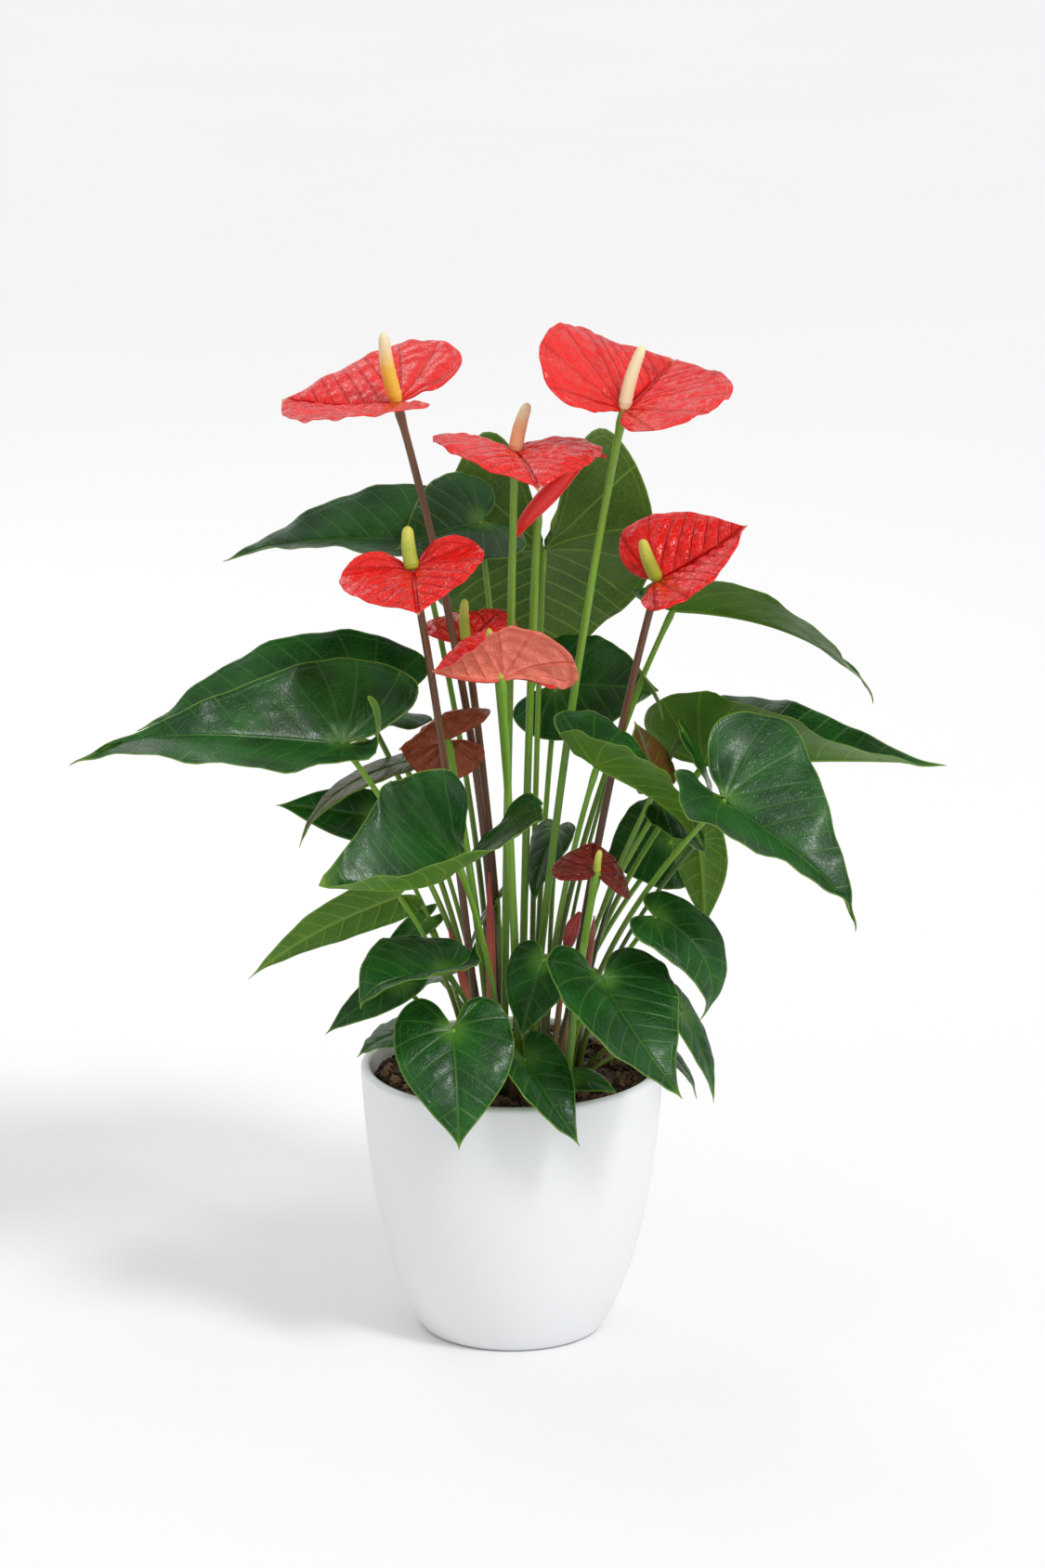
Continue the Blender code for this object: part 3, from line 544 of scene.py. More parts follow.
def rod(name, line, radii, sides, bulge=None, measures=None):
    """A closed round rod along the points; bulge adds to the radius at each ring and side."""
    line = np.asarray(line, float)
    radii = np.asarray(radii, float)
    ahead = unit_rows(np.gradient(line, axis=0))
    side = np.cross(ahead[0], (0.31, 0.95, 0.02))
    side /= np.linalg.norm(side)
    turns = np.linspace(0, 2 * pi, sides, endpoint=False)
    rings = []
    for i, (point, way) in enumerate(zip(line, ahead)):
        side = side - way * side.dot(way)
        side /= np.linalg.norm(side)
        other = np.cross(way, side)
        radius = radii[i] + (bulge[i] if bulge is not None else 0)
        radius = np.broadcast_to(radius, turns.shape)[:, None]
        rings.append(point + radius * (np.cos(turns)[:, None] * side + np.sin(turns)[:, None] * other))
    count = len(line)
    points = np.vstack([*rings, line[0], line[-1]])
    faces = []
    for i in range(count - 1):
        for j in range(sides):
            k = (j + 1) % sides
            faces.append((i * sides + j, i * sides + k, (i + 1) * sides + k, (i + 1) * sides + j))
    foot, top = count * sides, count * sides + 1
    faces += [(foot, (j + 1) % sides, j) for j in range(sides)]
    faces += [(top, (count - 1) * sides + j, (count - 1) * sides + (j + 1) % sides) for j in range(sides)]
    run = distance_along(line)
    along = np.concatenate([np.repeat(run / run[-1], sides), [0, 1]])
    metres = np.concatenate([np.repeat(run, sides), [0, run[-1]]])
    around = np.concatenate([np.tile(np.cos(turns), count), [0, 0]])
    across = np.concatenate([np.tile(np.sin(turns), count), [0, 0]])
    found = {"along": along, "flat": np.column_stack([around * 0.002, across * 0.002, metres])}
    found.update(measures or {})
    return built(name, points, faces, found)


def stem_line(root, end, lean, count):
    """A stem's centre line from the soil; lean is 0 for one that starts upright and 1 for a straight one."""
    start = placed((*root, 0)) - (0, 0, 0.004)
    knee = placed((*root, 0)) + (0, 0, 0.0033)
    way = end - knee
    low = knee + way * np.array((0.33 * lean, 0.33 * lean, 0.40))
    high = knee + way * np.array((0.55 + 0.12 * lean, 0.55 + 0.12 * lean, 0.76))
    return np.vstack([[start], bezier(knee, low, high, end, count)])


def rounded_end(line, radii, last):
    """The line and radii with a dome at the far end."""
    way = unit(line[-1] - line[-2])
    steps = (0.35, 0.65, 0.86, 0.97)
    more = [line[-1] + way * last * step for step in steps]
    return np.vstack([line, more]), np.append(radii, [last * (1 - step**2) ** 0.5 for step in steps])


def stalk(name, root, base, lean, foot, radius, knuckle):
    """A tapered stalk from the soil to a blade, thicker at its foot and at the joint below the blade."""
    line = stem_line(root, base, lean, 44)
    run = distance_along(line)
    left = run[-1] - run
    radii = radius + (foot - radius) * np.exp(-run / 0.018)
    radii = radii + (knuckle - radius) * np.exp(-(((left - 0.006) / 0.007) ** 2))
    line[-1] -= unit(line[-1] - line[-2]) * 0.4 * radii[-1]
    line, radii = rounded_end(line, radii, radii[-1])
    return rod(name, line, radii, 16)


def spadix(name, base, tip, radius, bead):
    """A finger of tight spiral florets with a rounded top."""
    base, tip = placed(base), placed(tip)
    base = base + unit(tip - base) * 0.0006
    length = np.linalg.norm(tip - base)
    t = np.linspace(0, 1, 110)
    side = unit(np.cross(tip - base, (0, 1, 0.2)))
    line = base + np.outer(t, tip - base) + np.outer(0.035 * length * np.sin(pi * t), side)
    shares = np.interp(t, (0, 0.03, 0.12, 0.5, 0.85, 0.93, 0.975, 1),
                       (0.55, 0.80, 1.0, 0.96, 0.80, 0.66, 0.45, 0.12))
    radii = radius * shares - bead * 0.5
    sides = 60
    around = max(8, round(2 * pi * radius / 0.0019))
    turns = np.linspace(0, 1, sides, endpoint=False)[None, :] * around
    row_height = 0.00155
    level = (t * length / row_height)[:, None]
    lump = np.zeros((len(t), sides))
    for near in (np.floor(level), np.floor(level) + 1):
        across_row = turns - 0.5 * (near % 2)
        across_row = np.abs(across_row - np.round(across_row)) / 0.56
        up_row = (level - near) / 0.80
        lump = np.maximum(lump, np.sqrt(np.clip(1 - across_row**2 - up_row**2, 0, 1)))
    bulge = bead * lump * np.clip(shares, 0.3, 1)[:, None]
    florets = np.concatenate([lump.ravel(), [0.5, 0.5]])
    return rod(name, line, np.clip(radii, 0.0002, None), sides, bulge, {"bead": florets})


def drawn_rod(name, rows, sides=24):
    """A rod through a table's rows of x, y, height and radius in millimetres."""
    path = smooth_points([(*placed(row), row[3] / 1000) for row in rows], 14 * len(rows))
    return rod(name, path[:, :3], np.clip(path[:, 3], 0.0003, None), sides)


# ---- Shading ----


def put(tree, kind, settings=None, **inputs):
    """Adds a node; an input is named by its socket, or by its place as at_0, at_1 and so on."""
    node = tree.nodes.new(kind)
    for key, value in (settings or {}).items():
        setattr(node, key, value)
    for key, value in inputs.items():
        socket = node.inputs[int(key[3:])] if key.startswith("at_") else node.inputs[key.replace("_", " ")]
        if isinstance(value, bpy.types.NodeSocket):
            tree.links.new(value, socket)
        else:
            socket.default_value = value
    return node


def feed(tree, node, **values):
    """Links each value to the input of that name."""
    for key, value in values.items():
        tree.links.new(value, node.inputs[key.replace("_", " ")])


def noise(tree, place, scale, detail):
    return put(tree, "ShaderNodeTexNoise", None, Vector=place, Scale=scale, Detail=detail).outputs[0]


def reckon(tree, operation, first, second=0.0):
    return put(tree, "ShaderNodeMath", {"operation": operation}, at_0=first, at_1=second).outputs[0]


def times(tree, first, second):
    return reckon(tree, "MULTIPLY", first, second)


def between(tree, value, low, high, start=0.0, end=1.0):
    """A smooth step from start to end as the value goes from low to high."""
    node = put(tree, "ShaderNodeMapRange", {"interpolation_type": "SMOOTHSTEP"}, Value=value)
    for key, number in (("From Min", low), ("From Max", high), ("To Min", start), ("To Max", end)):
        node.inputs[key].default_value = number
    return node.outputs[0]


def blended(tree, share, first, second):
    node = put(tree, "ShaderNodeMix", {"data_type": "RGBA", "clamp_factor": True}, at_0=share, at_6=first,
               at_7=second)
    return node.outputs[2]


def measure(tree, name, output="Fac"):
    return put(tree, "ShaderNodeAttribute", {"attribute_name": name}).outputs[output]


def opaque(colour):
    return (*colour, 1.0)


def new_group(name, colour_inputs, outputs):
    """A node group, the sockets that carry its inputs and the node that takes its outputs."""
    group = bpy.data.node_groups.new(name, "ShaderNodeTree")
    for key in colour_inputs:
        group.interface.new_socket(key, in_out="INPUT", socket_type="NodeSocketColor")
    for key, kind in outputs:
        group.interface.new_socket(key, in_out="OUTPUT", socket_type=kind)
    return group, group.nodes.new("NodeGroupInput").outputs, group.nodes.new("NodeGroupOutput")


def vein_lines():
    """Side veins, midrib, the vein inside the margin and the fine net between them."""
    group, _, out = new_group("Vein lines", (), (
        ("Veins", "NodeSocketFloat"), ("Margin", "NodeSocketFloat"), ("Height", "NodeSocketFloat")))
    count = measure(group, "vein")
    off = reckon(group, "ABSOLUTE", reckon(group, "SUBTRACT", count, reckon(group, "ROUND", count)))
    side = between(group, times(group, off, measure(group, "gap")), 0.00015, 0.0011, 0.75, 0.0)
    middle = between(group, measure(group, "mid"), 0.0004, 0.0017, 1.0, 0.0)
    rim = measure(group, "rim")
    inside = reckon(group, "ABSOLUTE", reckon(group, "SUBTRACT", rim, 0.0042))
    collecting = between(group, inside, 0.0001, 0.0008, 0.45, 0.0)
    net = put(group, "ShaderNodeTexVoronoi", {"feature": "DISTANCE_TO_EDGE"},
              Vector=measure(group, "flat", "Vector"), Scale=330.0).outputs["Distance"]
    fine = between(group, net, 0.01, 0.10, 0.22, 0.0)
    veins = reckon(group, "MAXIMUM", reckon(group, "MAXIMUM", side, middle),
                   reckon(group, "MAXIMUM", collecting, fine))
    margin = between(group, rim, 0.0003, 0.0012, 1.0, 0.0)
    grain = noise(group, measure(group, "flat", "Vector"), 900.0, 3.0)
    height = reckon(group, "SUBTRACT", times(group, grain, 0.25), veins)
    feed(group, out, Veins=veins, Margin=margin, Height=height)
    return group


def leaf_colouring(lines):
    """A leaf's colour, roughness and relief from its own veins, its two faces and slow mottling."""
    group, given, out = new_group("Leaf colouring", ("Upper", "Shade", "Vein", "Under", "Edge"), (
        ("Colour", "NodeSocketColor"), ("Roughness", "NodeSocketFloat"), ("Height", "NodeSocketFloat")))
    veins = put(group, "ShaderNodeGroup", {"node_tree": lines})
    flat = measure(group, "flat", "Vector")
    cloud = noise(group, flat, 28.0, 4.0)
    patch = between(group, cloud, 0.38, 0.66)
    upper = blended(group, patch, given["Shade"], given["Upper"])
    near = between(group, measure(group, "heart"), 0.002, 0.016, 0.75, 0.0)
    line_share = reckon(group, "MAXIMUM", times(group, veins.outputs["Veins"], 0.36), near)
    upper = blended(group, line_share, upper, given["Vein"])
    under_share = times(group, veins.outputs["Veins"], 0.75)
    mottled = blended(group, times(group, patch, 0.35), given["Under"], given["Upper"])
    lower = blended(group, under_share, mottled, given["Edge"])
    under = measure(group, "under")
    colour = blended(group, between(group, under, 0.4, 0.6), upper, lower)
    colour = blended(group, times(group, veins.outputs["Margin"], 0.55), colour,
                     given["Edge"])
    colour = blended(group, times(group, measure(group, "tip"), 0.5), colour, given["Edge"])
    smudge = noise(group, flat, 75.0, 5.0)
    rough = reckon(group, "ADD", between(group, smudge, 0.3, 0.75, 0.20, 0.36), times(group, under, 0.20))
    feed(group, out, Colour=colour, Roughness=rough, Height=veins.outputs["Height"])
    return group


def spathe_colouring(lines):
    """A spathe's colour, roughness and relief: waxy face, painted shade in its vein grooves, paler back and
    dry tip.
    """
    group, given, out = new_group("Spathe colouring", ("Face", "MottleAndGrooveShade", "Back", "Tip"), (
        ("Colour", "NodeSocketColor"), ("Roughness", "NodeSocketFloat"), ("Height", "NodeSocketFloat")))
    veins = put(group, "ShaderNodeGroup", {"node_tree": lines})
    flat = measure(group, "flat", "Vector")
    cloud = noise(group, flat, 40.0, 4.0)
    face = blended(group, between(group, cloud, 0.52, 0.80, 0.0, 0.5), given["Face"], given["MottleAndGrooveShade"])
    # Painted shade: the veins, which lie in grooves, are darkened towards the deep red.
    face = blended(group, times(group, veins.outputs["Veins"], 0.55), face, given["MottleAndGrooveShade"])
    back = blended(group, times(group, veins.outputs["Veins"], 0.5), given["Back"],
                   given["Face"])
    under = measure(group, "under")
    colour = blended(group, between(group, under, 0.4, 0.6), face, back)
    colour = blended(group, between(group, measure(group, "tip"), 0.35, 1.0, 0.0, 0.85), colour,
                     given["Tip"])
    cells = put(group, "ShaderNodeTexVoronoi", {"feature": "SMOOTH_F1"}, Vector=flat, Scale=150.0,
                Smoothness=0.6).outputs["Distance"]
    height = reckon(group, "SUBTRACT", times(group, veins.outputs["Height"], 0.6), cells)
    smudge = noise(group, flat, 90.0, 4.0)
    rough = reckon(group, "ADD", between(group, smudge, 0.3, 0.75, 0.08, 0.17), times(group, under, 0.18))
    feed(group, out, Colour=colour, Roughness=rough, Height=height)
    return group


def surface(name, rough=0.5, coat=0.0, shine=0.5):
    """A material with its tree and shader, ready for a piece's own nodes."""
    material = bpy.data.materials.new(name)
    material.use_nodes = True
    tree = material.node_tree
    shader = tree.nodes["Principled BSDF"]
    shader.inputs["Roughness"].default_value = rough
    shader.inputs["Coat Weight"].default_value = coat
    shader.inputs["Coat Roughness"].default_value = 0.10
    shader.inputs["Specular IOR Level"].default_value = shine
    return material, tree, shader


def raised(tree, shader, height, distance, strength):
    bump = put(tree, "ShaderNodeBump", None, Height=height, Distance=distance, Strength=strength)
    feed(tree, shader, Normal=bump.outputs[0])


def coloured(name, group, tints, coat, shine, distance, strength):
    """A material that feeds a colouring group's outputs to the shader."""
    material, tree, shader = surface(name, coat=coat, shine=shine)
    node = put(tree, "ShaderNodeGroup", {"node_tree": group})
    for key, tint in tints.items():
        node.inputs[key].default_value = opaque(tint)
    feed(tree, shader, Base_Color=node.outputs["Colour"], Roughness=node.outputs["Roughness"])
    raised(tree, shader, node.outputs["Height"], distance, strength)
    return material


def stem_material(name, low, high, speckle):
    """A stem that goes from one colour at its foot to another at its top, with long fine streaks."""
    material, tree, shader = surface(name, rough=0.38, coat=0.15)
    flat = measure(tree, "flat", "Vector")
    long_grain = put(tree, "ShaderNodeMapping", None, Vector=flat, Scale=(1.0, 1.0, 0.06)).outputs[0]
    streak = noise(tree, long_grain, 1600.0, 3.0)
    uneven = times(tree, reckon(tree, "SUBTRACT", streak, 0.5), 0.5)
    along = reckon(tree, "ADD", measure(tree, "along"), uneven)
    base = blended(tree, between(tree, along, 0.10, 0.80), opaque(low), opaque(high))
    spots = noise(tree, flat, 500.0, 4.0)
    base = blended(tree, between(tree, spots, 0.56, 0.72, 0.0, 0.45), base, opaque(speckle))
    feed(tree, shader, Base_Color=base, Roughness=between(tree, spots, 0.3, 0.7, 0.30, 0.48))
    raised(tree, shader, streak, 0.0004, 0.35)
    return material


def spadix_material(name, low, high, gap):
    """Florets in their own colour with painted shade in the gaps between them, from one colour at the base to
    another at the top.
    """
    material, tree, shader = surface(name, rough=0.5, coat=0.05)
    lump = measure(tree, "bead")
    grain = noise(tree, measure(tree, "flat", "Vector"), 420.0, 3.0)
    uneven = times(tree, reckon(tree, "SUBTRACT", grain, 0.5), 0.35)
    along = reckon(tree, "ADD", measure(tree, "along"), uneven)
    base = blended(tree, between(tree, along, 0.45, 0.85), opaque(low), opaque(high))
    # Painted shade: the gaps between the florets are darkened towards the gap colour.
    base = blended(tree, between(tree, lump, 0.0, 0.60, 0.90, 0.0), base, opaque(gap))
    feed(tree, shader, Base_Color=base, Roughness=between(tree, lump, 0.1, 0.9, 0.65, 0.42))
    raised(tree, shader, grain, 0.0003, 0.3)
    return material


def glaze_material():
    """Satin white glaze: a breath of mottling, faint specks and slight pooling."""
    material, tree, shader = surface("glaze", coat=0.15)
    place = put(tree, "ShaderNodeTexCoord").outputs["Object"]
    cloud = noise(tree, place, 9.0, 5.0)
    white = colours().glaze
    base = blended(tree, between(tree, cloud, 0.35, 0.70), opaque([0.985 * c for c in white]), opaque(white))
    dust = noise(tree, place, 240.0, 2.0)
    base = blended(tree, between(tree, dust, 0.74, 0.80, 0.0, 0.10), base, opaque((0.45, 0.40, 0.34)))
    feed(tree, shader, Base_Color=base, Roughness=between(tree, cloud, 0.3, 0.7, 0.34, 0.40))
    ripple = noise(tree, place, 26.0, 2.0)
    raised(tree, shader, ripple, 0.0008, 0.08)
    return material


def mix_material(name, dark, light, scale):
    """Damp crumbly potting mix or bark."""
    material, tree, shader = surface(name, rough=0.9)
    place = put(tree, "ShaderNodeTexCoord").outputs["Object"]
    crumb = put(tree, "ShaderNodeTexVoronoi", None, Vector=place, Scale=scale).outputs["Distance"]
    fibre = noise(tree, place, scale * 2.2, 6.0)
    share = times(tree, between(tree, crumb, 0.2, 0.8), between(tree, fibre, 0.42, 0.70))
    base = blended(tree, share, opaque(dark), opaque(light))
    feed(tree, shader, Base_Color=base, Roughness=between(tree, fibre, 0.3, 0.7, 0.98, 0.70))
    raised(tree, shader, reckon(tree, "ADD", crumb, fibre), 0.0022, 0.8)
    return material


def floor_material():
    material, tree, shader = surface("floor", rough=0.85)
    place = put(tree, "ShaderNodeTexCoord").outputs["Object"]
    cloud = noise(tree, place, 3.0, 3.0)
    pale = colours().floor
    base = blended(tree, between(tree, cloud, 0.3, 0.7), opaque([0.992 * c for c in pale]), opaque(pale))
    feed(tree, shader, Base_Color=base)
    return material


PAINTS = {}


def plant_materials():
    """Every plant material by name; made once, then shared by the pieces."""
    if PAINTS:
        return PAINTS
    tint = colours()
    lines = vein_lines()
    leafy = leaf_colouring(lines)
    waxy = spathe_colouring(lines)
    usual = dict(Upper=tint.leaf, Shade=tint.leaf_shade, Vein=tint.leaf_vein, Under=tint.leaf_under,
                 Edge=tint.leaf_edge)
    leaves = {
        "leaf": {},
        "leaf_backlit": dict(Under=tint.backlit, Upper=tint.leaf_shade),
        "leaf_olive": dict(Upper=tint.olive, Shade=(0.070, 0.075, 0.012), Under=tint.olive),
        "leaf_bronze": dict(Upper=tint.bronze_leaf, Shade=(0.085, 0.040, 0.010), Under=tint.bronze_leaf),
    }
    for name, other in leaves.items():
        PAINTS[name] = coloured(name, leafy, usual | other, 0.03, 0.24, 0.0006, 0.45)
    red = dict(Face=tint.red, MottleAndGrooveShade=tint.red_mottle_and_groove_shade, Back=tint.red_back, Tip=tint.spathe_tip)
    spathes = {
        "spathe_red": {},
        "spathe_pink": dict(Back=tint.pink),
        "spathe_bronze": dict(Face=tint.bronze, MottleAndGrooveShade=(0.13, 0.02, 0.01), Back=tint.bronze),
        "spathe_maroon": dict(Face=tint.maroon, MottleAndGrooveShade=(0.08, 0.004, 0.006), Back=tint.maroon),
    }
    for name, other in spathes.items():
        PAINTS[name] = coloured(name, waxy, red | other, 0.10, 0.42, 0.0018, 0.9)
    green, brown = tint.stem_green, tint.stem_brown
    stems = {
        "stem_green": ([0.75 * c for c in green], green, [0.5 * c for c in green]),
        "stem_brown": ([0.55 * c for c in brown], brown, (0.10, 0.10, 0.02)),
        "stalk": ((0.10, 0.13, 0.018), green, (0.12, 0.07, 0.02)),
        "stalk_dark": ((0.045, 0.075, 0.010), (0.060, 0.140, 0.010), (0.08, 0.045, 0.015)),
        "sheath_red": ((0.40, 0.09, 0.03), (0.26, 0.014, 0.010), (0.42, 0.12, 0.05)),
        "sheath_pink": ((0.30, 0.11, 0.06), (0.36, 0.09, 0.055), (0.20, 0.08, 0.035)),
        "sheath_brown": ((0.14, 0.075, 0.035), (0.30, 0.17, 0.085), (0.07, 0.035, 0.018)),
        "bud": ((0.16, 0.20, 0.03), (0.40, 0.035, 0.025), (0.30, 0.03, 0.02)),
        "furled": (tint.red, tint.red, tint.red_back),
    }
    for name, tones in stems.items():
        PAINTS[name] = stem_material(name, *tones)
    # The third colour of each spadix is painted shade for the gaps between its florets.
    spadices = {
        "spadix_cream": (tint.cream, tint.cream, (0.52, 0.36, 0.12)),
        "spadix_yellow": (tint.yellow, tint.cream, (0.45, 0.22, 0.02)),
        "spadix_peach": (tint.peach, tint.cream, (0.50, 0.16, 0.06)),
        "spadix_green": (tint.green, (0.60, 0.60, 0.09), (0.16, 0.19, 0.015)),
    }
    for name, tones in spadices.items():
        PAINTS[name] = spadix_material(name, *tones)
    return PAINTS


# ---- Operators ----


class ANTHURIUM_OT_pot(bpy.types.Operator):
    """Turn the round cover pot from ring to ring, then round and smooth its lip"""

    bl_idname = "anthurium.pot"
    bl_label = "Cover pot"

    def execute(self, context):
        size = sizes()
        rim, foot, wall, height = size.pot_radius, size.pot_foot, size.pot_wall, size.pot_height
        slope = rim - foot
        outside = [(foot - 0.004, 0), (foot, 0.0004), (foot + 0.0018, height * 0.010)]
        outside += [(rim - slope * share, height * level) for share, level in POT_OUTSIDE]
        outside += [
            (rim - 0.0003, height - wall * 0.8), (rim, height - wall * 0.45),
            (rim - wall * 0.14, height - wall * 0.14), (rim - wall * 0.5, height),
        ]
        inside = [(rim - wall * 0.86, height - wall * 0.14), (rim - wall, height - wall * 0.45)]
        inside += [(rim - slope * share - wall, height * level) for share, level in POT_INSIDE]
        inside += [(foot - wall, 0.0125), (foot - wall - 0.004, 0.0105)]
        bpy.ops.mesh.primitive_circle_add(vertices=96, radius=outside[0][0], fill_type="NGON",
                                          location=(0, 0, 0))
        pot = context.object
        bpy.ops.object.mode_set(mode="EDIT")
        bpy.ops.mesh.select_mode(type="FACE")
        bpy.ops.mesh.select_all(action="SELECT")
        bpy.ops.mesh.inset(thickness=BOTTOM_INSET)
        bpy.ops.mesh.select_all(action="DESELECT")
        bpy.ops.mesh.select_mode(type="EDGE")
        bpy.ops.object.mode_set(mode="OBJECT")
        for edge in pot.data.edges:
            ends = [pot.data.vertices[i].co for i in edge.vertices]
            edge.select = all(hypot(end.x, end.y) > outside[0][0] - 1e-5 for end in ends)
        bpy.ops.object.mode_set(mode="EDIT")
        before = outside[0]
        for radius, level in outside[1:] + inside:
            bpy.ops.mesh.extrude_edges_move(TRANSFORM_OT_translate={"value": (0, 0, level - before[1])})
            share = radius / before[0]
            bpy.ops.transform.resize(value=(share, share, 1), center_override=(0, 0, level))
            before = (radius, level)
        bpy.ops.mesh.edge_face_add()
        bpy.ops.mesh.inset(thickness=BOTTOM_INSET)
        bpy.ops.mesh.select_all(action="SELECT")
        bpy.ops.mesh.normals_make_consistent(inside=False)
        bpy.ops.object.mode_set(mode="OBJECT")
        rounding = pot.modifiers.new("rounding", "SUBSURF")
        rounding.levels = rounding.render_levels = 1
        bpy.ops.object.modifier_apply(modifier="rounding")
        bpy.ops.object.shade_smooth()
        pot.name = pot.data.name = "cover_pot"
        pot.select_set(False)
        declared(pot, glaze_material(), "pot", "pot")
        return {"FINISHED"}


class ANTHURIUM_OT_potting_mix(bpy.types.Operator):
    """Heap the potting mix and scatter bark chips and coir over it"""

    bl_idname = "anthurium.potting_mix"
    bl_label = "Potting mix"

    def execute(self, context):
        rng = seeded(7)
        inside = sizes().pot_radius - sizes().pot_wall - 0.0012
        around, rings = 120, 26
        turns = np.linspace(0, 2 * pi, around, endpoint=False)
        reach = inside * np.linspace(0.02, 1, rings)
        x = np.outer(reach, np.cos(turns))
        y = np.outer(reach, np.sin(turns))
        heap = np.zeros_like(x)
        for scale, height in ((95, 0.0020), (190, 0.0014), (420, 0.0008)):
            a, b = rng.uniform(0, 2 * pi, 2)
            heap += height * np.sin(x * scale + a + np.sin(y * scale * 0.7)) * np.sin(y * scale + b)
        z = SOIL_TOP - 0.0015 + heap
        low_radius, low_level = 0.93 * inside, SOIL_TOP - 0.03
        points = np.column_stack([x.ravel(), y.ravel(), z.ravel()])
        skirt = np.column_stack([low_radius * np.cos(turns), low_radius * np.sin(turns),
                                 np.full(around, low_level)])
        points = np.vstack([points, skirt, (0, 0, SOIL_TOP - 0.0015), (0, 0, low_level)])
        faces = []
        for i in range(rings):
            for j in range(around):
                k = (j + 1) % around
                faces.append((i * around + j, (i + 1) * around + j, (i + 1) * around + k, i * around + k))
        top, low = (rings + 1) * around, (rings + 1) * around + 1
        faces += [(top, j, (j + 1) % around) for j in range(around)]
        faces += [(low, rings * around + (j + 1) % around, rings * around + j) for j in range(around)]
        tint = colours()
        soil = built("potting_mix", points, faces)
        declared(soil, mix_material("potting_mix", tint.mix, tint.bark, 420.0), "soil", "soil")
        bpy.ops.mesh.primitive_ico_sphere_add(subdivisions=1, radius=1, location=(0, 0, 0))
        lump = context.object
        shape = np.array([v.co for v in lump.data.vertices])
        cells = [tuple(p.vertices) for p in lump.data.polygons]
        bpy.data.objects.remove(lump)
        litter = (("bark_chips", 260, 0.0042, tint.bark), ("coir_crumbs", 420, 0.0020, tint.mix))
        for name, count, size, tone in litter:
            chips, chip_faces = [], []
            for i in range(count):
                turn = rng.uniform(0, 2 * pi)
                far = (inside - size * 1.3) * rng.uniform(0.30, 1) ** 0.5
                spin = np.linalg.qr(rng.normal(size=(3, 3)))[0]
                lumpy = shape * rng.uniform(0.75, 1.25, (len(shape), 1)) * size * rng.uniform(0.5, 1.0, 3)
                heap_up = 0.004 if -0.2 < turn < 1.9 and far > 0.85 * inside else 0.0
                level = SOIL_TOP + rng.uniform(-0.001, 0.0015) + heap_up * rng.uniform(0, 1.6)
                centre = (far * cos(turn), far * sin(turn), level)
                chips.append(lumpy @ spin + centre)
                chip_faces += [tuple(len(shape) * i + v for v in cell) for cell in cells]
            made = built(name, np.vstack(chips), chip_faces)
            made.data.polygons.foreach_set("use_smooth", [False] * len(made.data.polygons))
            light = [min(1.0, 1.8 * c) for c in tone]
            declared(made, mix_material(name, tone, light, 300.0), "soil", "soil")
        return {"FINISHED"}


def leaf_look():
    size = sizes()
    return dict(rings=26, steps=52, gap=0.0125, quilt=size.leaf_quilt, wave=size.leaf_wave,
                thickness=size.blade_thickness, ridge=0.0007)


def spathe_look():
    size = sizes()
    return dict(rings=40, steps=70, gap=0.0105, quilt=size.spathe_quilt, wave=0.0008,
                thickness=size.spathe_thickness, ridge=0.0005)


def grow_leaf(name, base, tip, width, root, shape, seed, *nodes):
    """A blade and its stalk."""
    stuff = plant_materials()
    slot = LEAF_SLOTS.get(name, "leaf")
    made = blade("blade_" + name, base, tip, width, shape, LEAF_EDGE, leaf_look(), seed)
    declared(made, stuff[slot], slot, *nodes)
    radius = sizes().stalk_radius * (0.62 + 0.38 * min(width / 8, 1))
    way = stalk("stalk_" + name, root, placed(base), 0.3, radius * 1.4, radius, radius * 1.3)
    material = "stalk_dark" if name in ("low_left_arched", "grey_right", "hanging_right") else "stalk"
    declared(way, stuff[material], slot, *nodes)


class ANTHURIUM_OT_leaves(bpy.types.Operator):
    """Grow every leaf: a veined heart-shaped blade on a long stalk"""

    bl_idname = "anthurium.leaves"
    bl_label = "Leaves"

    def execute(self, context):
        for seed, row in enumerate(LEAVES):
            grow_leaf(*row, seed, "leaf_" + row[0])
        return {"FINISHED"}


class ANTHURIUM_OT_undergrowth(bpy.types.Operator):
    """Add the small leaves and slivers near the crown"""

    bl_idname = "anthurium.undergrowth"
    bl_label = "Undergrowth"

    def execute(self, context):
        for seed, row in enumerate(UNDERGROWTH):
            grow_leaf(*row, 60 + seed)
        return {"FINISHED"}


class ANTHURIUM_OT_flowers(bpy.types.Operator):
    """Open every flower: a waxy spathe on its stem"""

    bl_idname = "anthurium.flowers"
    bl_label = "Spathes and stems"

    def execute(self, context):
        stuff = plant_materials()
        thick = sizes().stem_radius
        for seed, (name, base, tip, width, shape, _, _, root, lean) in enumerate(FLOWERS):
            slot = SPATHE_SLOTS.get(name, "spathe_red")
            made = blade("spathe_face_" + name, base, tip, width, shape, SPATHE_EDGE, spathe_look(),
                         100 + seed)
            declared(made, stuff[slot], slot, "spathe_" + name)
            tone = "stem_brown" if name in BROWN_STEMS else "stem_green"
            way = stalk("scape_" + name, root, placed(base), lean, thick * 1.25, thick * 0.92, thick * 1.25)
            declared(way, stuff[tone], tone, "stem_" + name)
        way = stalk("scape_furled", FURLED_STEM_ROOT, placed(FURLED_STEM_TOP), 0.5, thick * 1.25,
                    thick * 0.92, thick * 1.2)
        declared(way, stuff["stem_green"], "stem_green", "stem_furled")
        return {"FINISHED"}


